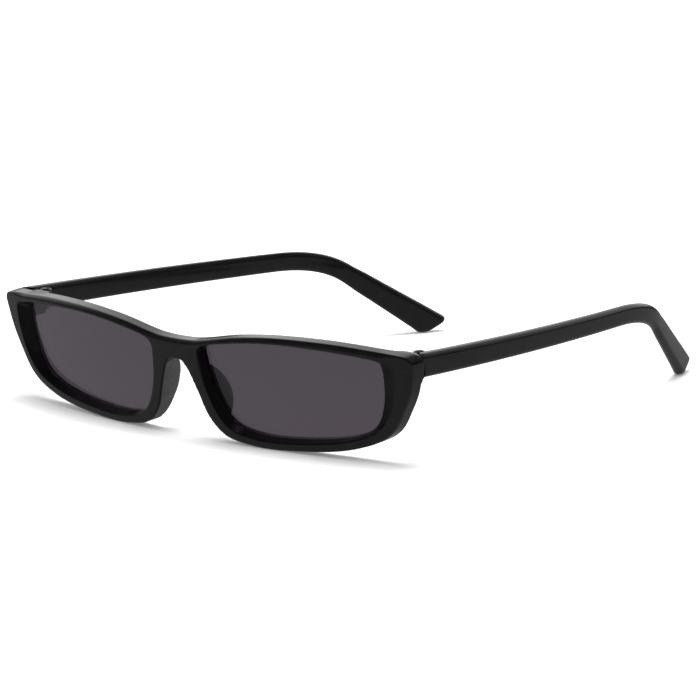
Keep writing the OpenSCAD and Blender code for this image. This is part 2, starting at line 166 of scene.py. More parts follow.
def block(p: np.ndarray, low: tuple, high: tuple, radius: float) -> np.ndarray:
    """The distance to a box with rounded edges.

    Args:
        p: Points, one row each.
        low: The box's lowest corner.
        high: The box's highest corner.
        radius: Radius on its edges.

    Returns:
        The signed distance of each point.
    """
    low, high = np.array(low, float), np.array(high, float)
    reach = np.abs(p - (low + high) / 2) - (high - low) / 2 + radius
    outside = np.linalg.norm(np.maximum(reach, 0), axis=1)
    return outside + np.minimum(reach.max(axis=1), 0) - radius


def fade(value: np.ndarray, start: float | np.ndarray, end: float | np.ndarray) -> np.ndarray:
    """A soft step from 0 where the value is start to 1 where it is end."""
    t = np.clip((value - start) / (end - start), 0, 1)
    return t * t * (3 - 2 * t)


@dataclass
class DistanceField:
    """Signed distance to a flat outline, negative inside, kept on a grid.

    Args:
        low: The grid's lowest corner.
        step: The grid's spacing.
        values: The distance at each grid point.
    """

    low: tuple[float, float]
    step: float
    values: np.ndarray

    @classmethod
    def around(cls, loop: np.ndarray, low: tuple, high: tuple, step: float = 0.2) -> "DistanceField":
        """Measures an outline on a grid.

        Args:
            loop: The closed outline's points.
            low: The grid's lowest corner.
            high: The grid's highest corner.
            step: The grid's spacing.

        Returns:
            The field.
        """
        axes = [np.arange(a, b + step, step) for a, b in zip(low, high)]
        px, py = np.meshgrid(*axes, indexing="ij")
        near = np.full(px.shape, np.inf)
        inside = np.zeros(px.shape, bool)
        for (ax, ay), (bx, by) in zip(loop, np.roll(loop, -1, axis=0)):
            dx, dy = bx - ax, by - ay
            along = ((px - ax) * dx + (py - ay) * dy) / (dx * dx + dy * dy)
            along = np.clip(along, 0, 1)
            near = np.minimum(near, (px - ax - along * dx) ** 2 + (py - ay - along * dy) ** 2)
            if dy:
                inside ^= ((ay > py) != (by > py)) & (px < ax + (py - ay) * dx / dy)
        return cls(low, step, np.where(inside, -1, 1) * np.sqrt(near))

    def __call__(self, x: np.ndarray, y: np.ndarray) -> np.ndarray:
        """Reads the distance at points.

        Args:
            x: Their first coordinates.
            y: Their second coordinates.

        Returns:
            The signed distance of each.
        """
        # Places beyond the grid are read just inside its last cell
        fx = np.clip((x - self.low[0]) / self.step, 0, self.values.shape[0] - 1.001)
        fy = np.clip((y - self.low[1]) / self.step, 0, self.values.shape[1] - 1.001)
        i, j = fx.astype(int), fy.astype(int)
        tx, ty = fx - i, fy - j
        lower = self.values[i, j] * (1 - tx) + self.values[i + 1, j] * tx
        upper = self.values[i, j + 1] * (1 - tx) + self.values[i + 1, j + 1] * tx
        return lower * (1 - ty) + upper * ty


@dataclass(frozen=True)
class SkinMesher:
    """Lays an even skin of quads over a solid that is given as a signed distance.

    Args:
        cell: Edge length of the quads.
        rounds: How often the skin is evened out and pulled back onto the solid.
        pulls: How many steps each pull takes.
        slab: How many layers of the grid are measured at once.
    """

    cell: float
    rounds: int = 3
    pulls: int = 3
    slab: int = 16

    def sampled(self, solid: Solid, low: np.ndarray, high: np.ndarray) -> np.ndarray:
        """Measures the solid on a grid.

        Args:
            solid: The solid.
            low: The grid's lowest corner.
            high: The grid's highest corner.

        Returns:
            The signed distance at each grid point.
        """
        counts = np.ceil((high - low) / self.cell).astype(int) + 1
        axes = [low[k] + self.cell * np.arange(counts[k]) for k in range(3)]
        values = np.empty(counts)
        for i in range(0, counts[0], self.slab):
            grid = np.meshgrid(axes[0][i:i + self.slab], axes[1], axes[2], indexing="ij")
            points = np.stack([g.ravel() for g in grid], axis=1)
            values[i:i + self.slab] = solid(points).reshape(grid[0].shape)
        return values

    def skin(self, solid: Solid, low: tuple | np.ndarray,
             high: tuple | np.ndarray) -> tuple[np.ndarray, np.ndarray]:
        """Builds the skin.

        Args:
            solid: The solid.
            low: Lowest corner of the space that holds it.
            high: Highest corner of that space.

        Returns:
            The skin's points and its quads, which face outwards.
        """
        low = np.array(low, float)
        values = self.sampled(solid, low, np.array(high, float))
        inside = values < 0
        shape = np.array(values.shape)
        total = np.zeros(shape - 1, np.int8)
        for dx in (0, 1):
            for dy in (0, 1):
                for dz in (0, 1):
                    total += inside[dx:shape[0] - 1 + dx, dy:shape[1] - 1 + dy, dz:shape[2] - 1 + dz]
        mixed = (total > 0) & (total < 8)
        index = np.full(mixed.shape, -1)
        index[mixed] = np.arange(mixed.sum())
        cells = np.argwhere(mixed)
        place = np.zeros(cells.shape)
        hits = np.zeros(len(cells))
        for axis in range(3):
            others = [k for k in range(3) if k != axis]
            for corner in range(4):
                start = cells.copy()
                start[:, others[0]] += corner & 1
                start[:, others[1]] += corner >> 1
                end = start.copy()
                end[:, axis] += 1
                a, b = values[tuple(start.T)], values[tuple(end.T)]
                cross = (a < 0) != (b < 0)
                spot = start.astype(float)
                spot[:, axis] += np.where(cross, a / np.where(cross, a - b, 1), 0)
                place[cross] += spot[cross]
                hits[cross] += 1
        points = low + self.cell * place / hits[:, None]
        quads = np.concatenate([self.quads_across(inside, index, axis) for axis in range(3)])
        for _ in range(self.rounds):
            points = self.settled(self.evened(points, quads), solid)
        return points, quads

    @staticmethod
    def quads_across(inside: np.ndarray, index: np.ndarray, axis: int) -> np.ndarray:
        """Finds the quads that cross the grid's edges along one axis.

        Args:
            inside: Which grid points lie inside.
            index: The skin point of each cell.
            axis: The axis.

        Returns:
            The quads.
        """
        second, third = (axis + 1) % 3, (axis + 2) % 3
        before = np.moveaxis(inside, axis, 0)[:-1]
        after = np.moveaxis(inside, axis, 0)[1:]
        nodes = np.argwhere(np.moveaxis(before != after, 0, axis))
        for k in (second, third):
            nodes = nodes[(nodes[:, k] >= 1) & (nodes[:, k] <= inside.shape[k] - 2)]
        corners = []
        for back_second, back_third in ((1, 1), (0, 1), (0, 0), (1, 0)):
            cell = nodes.copy()
            cell[:, second] -= back_second
            cell[:, third] -= back_third
            corners.append(index[tuple(cell.T)])
        quads = np.stack(corners, axis=1)
        outwards = inside[tuple(nodes.T)]
        return np.where(outwards[:, None], quads, quads[:, ::-1])

    @staticmethod
    def evened(points: np.ndarray, quads: np.ndarray) -> np.ndarray:
        """Moves each point halfway to the middle of its neighbours.

        Args:
            points: The skin's points.
            quads: Its quads.

        Returns:
            The moved points.
        """
        own = quads.ravel()
        one, two = np.roll(quads, 1, axis=1).ravel(), np.roll(quads, -1, axis=1).ravel()
        count = 2 * np.bincount(own, minlength=len(points))
        middle = np.stack([
            np.bincount(own, points[one, k] + points[two, k], len(points)) for k in range(3)
        ], axis=1) / count[:, None]
        return (points + middle) / 2

    def settled(self, points: np.ndarray, solid: Solid, probe: float = 0.02) -> np.ndarray:
        """Pulls points onto the solid's surface.

        Args:
            points: The points.
            solid: The solid.
            probe: The distance over which the solid's slope is measured.

        Returns:
            The moved points.
        """
        for _ in range(self.pulls):
            here = solid(points)
            slope = np.stack([
                (solid(points + probe * way) - solid(points - probe * way)) / (2 * probe)
                for way in np.eye(3)
            ], axis=1)
            # The small numbers keep the step finite where the slope is flat
            step = slope * (here / (np.sum(slope**2, axis=1) + 1e-6))[:, None]
            length = np.linalg.norm(step, axis=1)[:, None]
            points = points - step * np.minimum(1, self.cell / 2 / (length + 1e-9))
        return points


@dataclass
class JointForm:
    """Sizes round a hinge, in millimetres, shared by the front, the hinge and the temple.

    In the names of sizes, _h is a height, _t a thickness, _w a width and _r a radius.
    """

    temple_h: float = 6.0
    temple_t: float = 3.4
    temple_step: float = 0.6
    mitre: float = 2.4
    mitre_in: float = 0.35
    mitre_room: float = 2.0
    joint_gap: float = 0.06
    barrel_r: float = 1.5
    barrel_room: float = 0.12
    barrel_set: float = 0.3
    hinge_h: float = 4.8
    middle_h: float = 2.0
    barrel_gap: float = 0.06
    screw_r: float = 0.7
    screw_gap: float = 0.04
    head_r: float = 1.1
    head_h: float = 0.3
    leaf_t: float = 1.1
    leaf_h: float = 3.8
    leaf_lap: float = 0.15
    leaf_gap: float = 0.05
    front_leaf_len: float = 3.6
    temple_leaf_len: float = 8.5
    tongue_h: float = 3.4
    web_y: float = 1.2
    ledge_start: float = 40.0
    ledge_end: float = 50.0
    ledge_drop: float = 1.4
    ledge_lap: float = 1.0


@dataclass
class FrontForm:
    """The shape of the moulded front and of what sits in it, in millimetres.

    In the names of sizes, _h is a height, _t a thickness, _w a width and _r a radius. A zone holds
    where something starts to change and where the change ends.
    """

    # The openings, the rims and the bridge
    eye_w: float = 54.2
    eye_h: float = 25.5
    bridge_w: float = 15.6
    bridge_h: float = 5.1
    brow_dip: float = 3.35
    arch_share: float = 0.26
    arch_drop: float = 0.3
    rim_top: float = 1.6
    rim_bottom: float = 2.05
    rim_nose: float = 4.2
    rim_side: float = 5.4
    rim_depth: float = 4.5
    # The wrap, the lean and the slant at which the edge runs back
    wrap_r: float = 220.0
    tilt_deg: float = 12.0
    rise_deg: float = 5.0
    # How the openings' walls lean in to the lens and flare out behind it. Where the lean changes is
    # given in shares of the opening: the start, and over how much.
    side_draft: float = 3.7
    side_draft_at: tuple[float, float] = (0.7, 0.3)
    side_draft_power: float = 1.5
    low_draft: float = 0.4
    low_draft_over: float = 0.3
    top_draft: float = 0.3
    top_draft_at: tuple[float, float] = (0.75, 0.12)
    back_flare: float = 1.5
    flare_run: float = 8.0
    wall_start: float = 0.3
    # The lenses
    lens_depth: float = 2.5
    lens_t: float = 1.4
    lens_seat: float = 0.5
    lens_gap: float = 0.05
    # The nose pads
    pad_out: float = 4.7
    pad_t: float = 1.3
    pad_set: float = 0.5
    pad_low: float = 2.6
    pad_len: float = 16.6
    pad_flare: float = 0.22
    pad_flare_from: float = 0.3
    pad_swell: float = 0.2
    pad_gap: float = 0.04
    pad_skew: float = 1.15
    pad_fullness: tuple[float, float] = (1.2, 0.6)
    pad_full_from: float = 0.55
    pad_front_r: float = 0.08
    pad_end_r: float = 0.3
    relief: float = 3.0
    relief_zone: tuple[float, float] = (-0.1, 2.5)
    # Radii on the front's edges, and where they change
    edge_r: float = 0.4
    side_edge_r: float = 0.8
    brow_edge_r: float = 1.3
    nose_edge_r: float = 0.15
    back_edge_r: float = 0.45
    side_back_r: float = 0.9
    mitre_edge_r: float = 0.12
    opening_edge_r: float = 0.3
    end_edge_r: float = 0.3
    end_fillet: float = 0.4
    side_zone: tuple[float, float] = (55.0, 64.0)
    side_below: tuple[float, float] = (0.8, 4.3)
    brow_zone: tuple[float, float] = (65.0, 59.0)
    nose_zone: tuple[float, float] = (20.0, 14.0)
    nose_above: float = 1.0
    nose_fade: float = 1.5
    end_zone: tuple[float, float] = (8.0, 10.0)
    end_below: tuple[float, float] = (1.5, 0.5)
    # The walls of the openings and the nose gap, where reflections are turned down as painted shade
    shade_reach: float = 0.06
    shade_fade: tuple[float, float] = (0.2, 0.7)
    shade_side: tuple[float, float] = (58.0, 62.0)
    shade_nose: tuple[float, float] = (11.0, 13.0)
    shade_above: float = 0.5
    # The parts of the plane on which the outlines' distances are kept
    outer_span: tuple[tuple, tuple] = ((-1, -3), (70, 31))
    opening_span: tuple[tuple, tuple] = ((0, -1), (70, 31))
    end_span: tuple[tuple, tuple] = ((30, 0), (72, 26))
    joint: JointForm = field(default_factory=JointForm)

    def __post_init__(self) -> None:
        """Works out the outlines, the hinge's place and the distance fields."""
        tilt, rise = math.radians(self.tilt_deg), math.radians(self.rise_deg)
        self.cos_tilt, self.sin_tilt = math.cos(tilt), math.sin(tilt)
        self.cos_rise, self.sin_rise = math.cos(rise), math.sin(rise)
        self.open_in = self.bridge_w / 2
        self.side_u = self.open_in + self.eye_w + self.rim_side
        bridge_top = self.rim_bottom + self.eye_h + self.rim_top - self.brow_dip
        arch_top = bridge_top - self.bridge_h
        self.nose_top = arch_top + self.nose_above
        share = RIM_PLACES
        rows = np.stack([
            self.open_in + share[:, 0] * self.eye_w, self.rim_bottom + share[:, 1] * self.eye_h
        ], axis=1)
        edge = rows + np.stack([
            share[:, 2] * np.where(share[:, 2] < 0, self.rim_nose, self.rim_side),
            share[:, 3] * np.where(share[:, 3] < 0, self.rim_bottom, self.rim_top),
        ], axis=1)
        arch = [[self.arch_share * self.open_in, arch_top - self.arch_drop], [0, arch_top]]
        half = np.concatenate([[[0, bridge_top]], edge, arch])
        self.edge = smooth_loop(np.concatenate([half, half[-2:0:-1] * [-1, 1]]))
        self.nose = self.edge[(NOSE_ROW + 1) * FINE_STEPS:(len(half) - 2) * FINE_STEPS + 1]
        self.opening = smooth_loop(rows)
        across = (self.opening[:, 0] - self.open_in) / self.eye_w
        up = (self.opening[:, 1] - self.rim_bottom) / self.eye_h
        start, over = self.side_draft_at
        outer = np.maximum(0, (across - start) / over) ** self.side_draft_power
        start, over = self.top_draft_at
        lift = self.low_draft * np.maximum(0, 1 - up / self.low_draft_over)
        lift -= self.top_draft * np.clip((up - start) / over, 0, 1)
        self.lens_opening = self.opening + np.stack([-self.side_draft * outer, lift], axis=1)
        back_opening = self.lens_opening + np.stack([self.back_flare * outer, 0 * outer], axis=1)
        low = self.wrap_v(self.edge[:, 0]) * self.sin_tilt + self.edge[:, 1] * self.cos_tilt
        self.lift = -low.min()
        self.place_hinge(edge[CORNER_ROW])
        wrapped = np.stack([self.edge[:, 0], self.wrap_v(self.edge[:, 0]), self.edge[:, 1]], axis=1)
        on_face = self.upright(wrapped)
        pushed = np.stack([on_face[:, 0], self.risen(on_face)], axis=1)
        self.outer_field = DistanceField.around(pushed, *self.outer_span)
        self.opening_fields = [
            DistanceField.around(loop, *self.opening_span)
            for loop in (self.opening, self.lens_opening, back_opening)
        ]
        self.block_field = DistanceField.around(self.block_outline(), *self.end_span)

    def wrap_v(self, u: np.ndarray | float, behind: float = 0.0) -> np.ndarray | float:
        """Depth of the wrapped face at u, or of a surface behind it."""
        return self.wrap_r - np.sqrt((self.wrap_r - behind) ** 2 - np.square(u))

    def upright(self, p: np.ndarray) -> np.ndarray:
        """Turns points of the leaning front into the upright frame.

        Args:
            p: The points, one row each or one alone.

        Returns:
            The turned points, one row each.
        """
        p = np.atleast_2d(p)
        y = p[:, 1] * self.cos_tilt - p[:, 2] * self.sin_tilt
        z = p[:, 1] * self.sin_tilt + p[:, 2] * self.cos_tilt + self.lift
        return np.stack([p[:, 0], y, z], axis=1)

    def risen(self, p: np.ndarray) -> np.ndarray:
        """Height of points across the slant at which the frame's edge runs back."""
        return p[:, 2] * self.cos_rise - p[:, 1] * self.sin_rise

    def place_hinge(self, corner: np.ndarray) -> None:
        """Works out where the end piece ends and where the hinge turns.

        Args:
            corner: The frame's upper outer corner on the leaning face.
        """
        j = self.joint
        self.joint_top = self.upright(np.array([corner[0], self.wrap_v(corner[0]), corner[1]]))[0, 2]
        self.hinge_z = self.joint_top + j.temple_step - j.temple_h / 2
        self.mitre_v = self.wrap_v(self.side_u, self.rim_depth)
        hinge_w = (self.hinge_z - self.lift - self.mitre_v * self.sin_tilt) / self.cos_tilt
        self.joint_y = self.upright(np.array([self.side_u, self.mitre_v, hinge_w]))[0, 1]
        self.block_y = self.joint_y + j.mitre
        self.block_low = self.hinge_z - j.temple_h / 2
        self.hinge_x = self.side_u - j.temple_t - j.barrel_room - j.barrel_r
        self.hinge_y = self.block_y + j.barrel_set + j.barrel_r
        self.middle_y = self.hinge_y - frame["joints"][0]["pos_m"][1] / MM

    def block_outline(self) -> np.ndarray:
        """Draws the end piece and its ledge, seen along the height of the leaning front.

        Returns:
            The outline's corners.
        """
        j = self.joint
        back = self.mitre_v + j.mitre
        inner = self.side_u - j.temple_t
        return np.array([
            (j.ledge_start, self.wrap_v(j.ledge_start, self.rim_depth) - j.ledge_lap),
            (j.ledge_end, back - j.ledge_drop),
            (inner - self.rim_side, back + j.mitre_room),
            (inner - j.mitre_in, back + j.mitre_room),
            (inner - j.mitre_in, back),
            (inner, back),
            (self.side_u, self.mitre_v),
            (self.side_u, self.wrap_v(self.side_u, self.rim_depth) - j.ledge_lap),
            (j.ledge_end, self.wrap_v(j.ledge_end, self.rim_depth) - j.ledge_lap),
        ])

    def front(self, p: np.ndarray) -> np.ndarray:
        """The distance to the moulded front.

        Args:
            p: Points in the upright frame, one row each.

        Returns:
            The signed distance of each.
        """
        y, z = p[:, 1], p[:, 2]
        x, v, w = self.leaning(p)
        depth = self.wrap_r - np.hypot(x, self.wrap_r - v)
        slab = np.maximum(-depth, depth - self.rim_depth)
        half = (self.joint_top - self.block_low) / 2
        end_height = np.abs(z - self.block_low - half) - half
        body = join(slab, meet(self.block_field(x, v), end_height, self.end_edge_r), self.end_fillet)
        side = fade(x, *self.side_zone) * fade(self.joint_top - z, *self.side_below)
        brow = fade(w, self.nose_top, self.nose_top + self.nose_fade) * fade(x, *self.brow_zone)
        nose = fade(w, self.nose_top, self.nose_top - self.nose_fade) * fade(x, *self.nose_zone)
        at_front = self.edge_r + (self.side_edge_r - self.edge_r) * side
        at_front += (self.brow_edge_r - self.edge_r) * brow + (self.nose_edge_r - self.edge_r) * nose
        at_back = self.back_edge_r + (self.side_back_r - self.back_edge_r) * side
        end = fade(self.block_low - z, *self.end_below) * fade(y, *self.end_zone)
        at_back = at_back + (self.mitre_edge_r - at_back) * end
        radius = np.where(depth < self.rim_depth / 2, at_front, at_back)
        body = meet(body, self.outer_field(x, self.risen(p)), radius)
        body = meet(body, -self.openings(x, v, w), self.opening_edge_r)
        body = np.maximum(body, -self.leaf_slot(x, y, z))
        cut = meet(body, y - self.block_y, self.mitre_edge_r)
        body = np.where(x > self.joint.ledge_start, cut, body)
        body = np.maximum(body, self.pad_relief(x, v, w))
        return np.maximum(body, self.pad_gap - self.pad(x, v, w))

    def leaning(self, p: np.ndarray) -> tuple[np.ndarray, np.ndarray, np.ndarray]:
        """Turns points of the upright frame into the leaning front's.

        Args:
            p: The points, one row each.

        Returns:
            Their distances from the middle, their depths and their heights.
        """
        v = p[:, 1] * self.cos_tilt + (p[:, 2] - self.lift) * self.sin_tilt
        w = (p[:, 2] - self.lift) * self.cos_tilt - p[:, 1] * self.sin_tilt
        return np.abs(p[:, 0]), v, w

    def openings(self, x: np.ndarray, v: np.ndarray, w: np.ndarray) -> np.ndarray:
        """The distance to the lens openings, whose walls lean in to the lens and flare out behind it.

        Args:
            x: Points' distances from the middle.
            v: Their depths in the leaning front.
            w: Their heights in it.

        Returns:
            The signed distance of each.
        """
        behind = v - self.wrap_v(x)
        face, lens, rear = (f(x, w) for f in self.opening_fields)
        lean = np.clip((behind - self.wall_start) / (self.lens_depth - self.wall_start), 0, 1)
        flare = np.clip((behind - self.lens_depth) / self.flare_run, 0, 1)
        return face + (lens - face) * lean + (rear - lens) * flare

    def recess_shade(self, p: np.ndarray) -> np.ndarray:
        """Finds the walls of the lens openings and of the nose gap, where reflections are turned down as
        painted shade.

        Args:
            p: Points of the front's skin in the upright frame.

        Returns:
            1 on those walls and 0 elsewhere.
        """
        x, v, w = self.leaning(p)
        nose = np.abs(self.outer_field(x, self.risen(p)))
        nose += fade(x, *self.shade_nose) + fade(w, self.nose_top, self.nose_top + self.shade_above)
        short, long = self.shade_fade
        reach = short + (long - short) * fade(x, *self.shade_side)
        near = np.minimum(np.abs(self.openings(x, v, w)), nose)
        return 1 - fade(near, self.shade_reach, self.shade_reach + reach)

    def leaf_slot(self, x: np.ndarray, y: np.ndarray, z: np.ndarray) -> np.ndarray:
        """The distance to the slot that a hinge leaf sits in.

        Args:
            x: Points' distances from the middle.
            y: Their depths.
            z: Their heights.

        Returns:
            The signed distance of each.
        """
        j = self.joint
        return np.maximum.reduce([
            np.abs(x - self.hinge_x) - j.leaf_t / 2 - j.leaf_gap,
            self.block_y - j.front_leaf_len - j.leaf_gap - y,
            np.abs(z - self.hinge_z) - j.leaf_h / 2 - j.leaf_gap,
        ])

    def pad(self, u: np.ndarray, v: np.ndarray, w: np.ndarray) -> np.ndarray:
        """The distance to a nose pad.

        Args:
            u: Points' places across the leaning front.
            v: Their depths.
            w: Their heights.

        Returns:
            The signed distance of each.
        """
        half = self.pad_t / 2
        start_u, front, du, dv = self.pad_course(w)
        along = np.minimum(((u - start_u) * du + (v - front) * dv) / (du**2 + dv**2), 1)
        swell = self.pad_swell * np.sin(math.pi * along.clip(0))
        body = np.hypot(u - start_u - along * du, v - front - along * dv) - half - swell
        return meet(meet(body, front - v, self.pad_front_r), self.past_pad(w), self.pad_end_r)

    def past_pad(self, w: np.ndarray) -> np.ndarray:
        """How far heights lie past a pad's ends."""
        return np.abs(w - self.pad_low - self.pad_len / 2) - self.pad_len / 2

    def pad_course(self, w: np.ndarray) -> tuple[np.ndarray, ...]:
        """Finds where a pad's wall runs at each height.

        Args:
            w: Heights in the leaning front.

        Returns:
            The place and depth where its middle starts, and how far it runs outwards and backwards.
        """
        half = self.pad_t / 2
        q = np.clip((w - self.pad_low) / self.pad_len, 0, 1)
        nose = np.interp(w, self.nose[:, 1], self.nose[:, 0])
        sink = math.tan(math.radians(self.tilt_deg - self.rise_deg)) * self.rim_depth
        rear = np.interp(w + sink, self.nose[:, 1], self.nose[:, 0])
        front = self.wrap_v(nose) + self.pad_set
        low, high = self.pad_fullness
        fullness = low + (high - low) * fade(q, 0, self.pad_full_from)
        out = self.pad_out * np.sin(np.pi * q**self.pad_skew).clip(0) ** fullness
        dv = self.wrap_v(nose, self.rim_depth) + out - half - front
        return nose + half, front, rear - nose + self.pad_flare * dv * fade(q, 0, self.pad_flare_from), dv

    def pad_relief(self, u: np.ndarray, v: np.ndarray, w: np.ndarray) -> np.ndarray:
        """Finds the nose's side of the pads, where the front is cut back so that it doesn't cover them.

        Args:
            u: Points' places across the leaning front.
            v: Their depths.
            w: Their heights.

        Returns:
            How far each point lies on that side.
        """
        start_u, front, du, dv = self.pad_course(w)
        along = np.clip((v - front) / dv, 0, 1)
        face = start_u + along * du - self.pad_t / 2 - self.pad_swell * np.sin(math.pi * along)
        return face - u - self.relief * fade(self.past_pad(w), *self.relief_zone)

    def pad_upright(self, p: np.ndarray) -> np.ndarray:
        """The distance to the left nose pad, from points in the upright frame."""
        _, v, w = self.leaning(p)
        return self.pad(p[:, 0], v, w)


def in_scene(name: str, data: bpy.types.ID) -> bpy.types.Object:
    """Puts a mesh, light or camera in the scene.

    Args:
        name: The object's name.
        data: Its mesh, light or camera.

    Returns:
        The object.
    """
    obj = bpy.data.objects.new(name, data)
    bpy.context.scene.collection.objects.link(obj)
    return obj


def moulded(name: str, points: np.ndarray, faces: np.ndarray | list, middle_y: float,
            material: bpy.types.Material, side: Side = Side.LEFT) -> bpy.types.Object:
    """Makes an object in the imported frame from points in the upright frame.

    Args:
        name: The object's name.
        points: Points in millimetres.
        faces: Faces that face outwards on the left side.
        middle_y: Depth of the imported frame's middle.
        material: The object's material.
        side: RIGHT mirrors the points.

    Returns:
        The object, smooth shaded.
    """
    placed = (points - [0, middle_y, 0]) * [side.value * MM, MM, MM]
    mesh = bpy.data.meshes.new(name)
    mesh.from_pydata(placed.tolist(), [], [tuple(int(k) for k in face)[::side.value] for face in faces])
    mesh.shade_smooth()
    mesh.materials.append(material)
    return in_scene(name, mesh)


def face_outwards(mesh: bpy.types.Mesh) -> None:
    """Merges a mesh's doubles and turns its faces outwards.

    Args:
        mesh: The mesh.
    """
    bm = bmesh.new()
    bm.from_mesh(mesh)
    bmesh.ops.remove_doubles(bm, verts=bm.verts, dist=MERGE_M)
    bmesh.ops.recalc_face_normals(bm, faces=bm.faces)
    bm.to_mesh(mesh)
    bm.free()


class Nodes:
    """Adds nodes to a tree of any kind."""

    def __init__(self, tree: bpy.types.NodeTree) -> None:
        """Keeps the tree."""
        self.tree = tree

    def fill(self, node: bpy.types.Node, inputs: dict) -> None:
        """Feeds a node's inputs.

        Args:
            node: The node.
            inputs: Sockets or values for its inputs, by number or name.
        """
        for key, value in inputs.items():
            if isinstance(value, bpy.types.NodeSocket):
                self.tree.links.new(value, node.inputs[key])
            else:
                node.inputs[key].default_value = value

    def add(self, kind: str, inputs: dict | None = None, out: int | str = 0,
            **settings: object) -> bpy.types.NodeSocket:
        """Adds a node.

        Args:
            kind: The node's type, without GeometryNode at its start.
            inputs: Sockets or values for its inputs, by number or name.
            out: The output to return.
            settings: The node's own settings.

        Returns:
            The chosen output.
        """
        start = "" if kind.startswith("ShaderNode") else "GeometryNode"
        node = self.tree.nodes.new(start + kind)
        for key, value in settings.items():
            setattr(node, key, value)
        self.fill(node, inputs or {})
        return node.outputs[out]

    def maths(self, operation: str, a: object, b: object = 0.0) -> bpy.types.NodeSocket:
        """Adds a Math node on two values."""
        return self.add("ShaderNodeMath", {0: a, 1: b}, operation=operation)

    def ranged(self, value: bpy.types.NodeSocket, between: tuple[float, float],
               to: tuple[float, float]) -> bpy.types.NodeSocket:
        """Spreads a value over a range.

        Args:
            value: The value, such as a noise.
            between: The values that give the first and the last result.
            to: The first and the last result.

        Returns:
            The spread value.
        """
        limits = dict(zip(("From Min", "From Max", "To Min", "To Max"), (*between, *to)))
        return self.add("ShaderNodeMapRange", {"Value": value, **limits}, out="Result")

    def seen(self) -> dict[str, bpy.types.NodeSocket]:
        """Tells apart the rays that show the background plainly and those that mirror it.

        Returns:
            1 on either kind of ray and 0 on others, by the names clear and mirrored.
        """
        rays = self.add("ShaderNodeLightPath").node.outputs
        clear = self.maths("MAXIMUM", rays["Is Camera Ray"], rays["Is Transmission Ray"])
        return {"clear": clear, "mirrored": rays["Is Glossy Ray"]}


class Shader(Nodes):
    """A material's node tree, with the few nodes that the finishes share."""

    def __init__(self, name: str) -> None:
        """Makes the material and finds its shader.

        Args:
            name: The material's name.
        """
        self.material = bpy.data.materials.new(name)
        self.material.use_nodes = True
        super().__init__(self.material.node_tree)
        self.surface = self.tree.nodes["Principled BSDF"]
        self.place = self.add("ShaderNodeTexCoord", out="Object")

    def set(self, **values: object) -> None:
        """Sets or feeds inputs of the surface, with underscores for the blanks in their names."""
        self.fill(self.surface, {key.replace("_", " "): value for key, value in values.items()})

    def noise(self, scale: float, detail: float = 2.0, stretch: tuple = (1, 1, 1)) -> bpy.types.NodeSocket:
        """Adds a noise over the object.

        Args:
            scale: Its scale, per metre.
            detail: Its detail.
            stretch: How much it is squeezed along each axis.

        Returns:
            The noise's value.
        """
        place = self.add("ShaderNodeMapping", {"Vector": self.place, "Scale": stretch})
        return self.add("ShaderNodeTexNoise", {"Vector": place, "Scale": scale, "Detail": detail}, out="Fac")

    def mottled(self, value: bpy.types.NodeSocket, low: tuple, high: tuple) -> bpy.types.NodeSocket:
        """Varies a colour between two.

        Args:
            value: The noise.
            low: The first colour.
            high: The second colour.

        Returns:
            The colour.
        """
        ramp = self.add("ShaderNodeValToRGB", {"Fac": value})
        for element, place, colour in zip(ramp.node.color_ramp.elements, NOISE_SPAN, (low, high)):
            element.position, element.color = place, (*colour, 1)
        return ramp

    def grained(self, value: bpy.types.NodeSocket, height: float, strength: float) -> bpy.types.NodeSocket:
        """Raises the surface by a noise.

        Args:
            value: The noise.
            height: Height of the grain, in metres.
            strength: How strongly it shows.

        Returns:
            The bumped normal.
        """
        return self.add("ShaderNodeBump", {"Height": value, "Distance": height, "Strength": strength})


@dataclass(frozen=True)
class Plastic:
    """A moulded black plastic.

    Args:
        name: The material's name.
        dark: Its darker tone.
        light: Its lighter tone.
        roughness: Its lowest and highest roughness.
        index: Its index of refraction.
        grain: Height of its grain, in metres.
        grain_scale: Scale of its grain, per metre.
        grain_strength: How strongly the grain shows.
        mottle_scale: Scale of the changes in its tone, per metre.
        wear_scale: Scale of the changes in its roughness, per metre.
        recess_shade_shine: The specular level on the walls of the openings, turned down as painted shade, or
            None where none is painted.
    """

    name: str
    dark: tuple[float, float, float]
    light: tuple[float, float, float]
    roughness: tuple[float, float]
    index: float
    grain: float
    grain_scale: float
    grain_strength: float = 0.35
    mottle_scale: float = 260.0
    wear_scale: float = 900.0
    recess_shade_shine: float | None = None

    def material(self) -> bpy.types.Material:
        """Builds the material.

        Returns:
            The material.
        """
        shader = Shader(self.name)
        wear = shader.noise(self.wear_scale, detail=4)
        shader.set(
            IOR=self.index,
            Base_Color=shader.mottled(shader.noise(self.mottle_scale, detail=3), self.dark, self.light),
            Roughness=shader.ranged(wear, NOISE_SPAN, self.roughness),
            Normal=shader.grained(shader.noise(self.grain_scale), self.grain, self.grain_strength),
        )
        # Painted shade: the specular level falls from the plain level to recess_shade_shine where the recess
        # attribute marks a wall
        if self.recess_shade_shine is not None:
            recess_shade = shader.add("ShaderNodeAttribute", out="Fac", attribute_name="recess_shade")
            shader.set(Specular_IOR_Level=shader.ranged(recess_shade, (0, 1), (PLAIN_SHINE, self.recess_shade_shine)))
        return shader.material


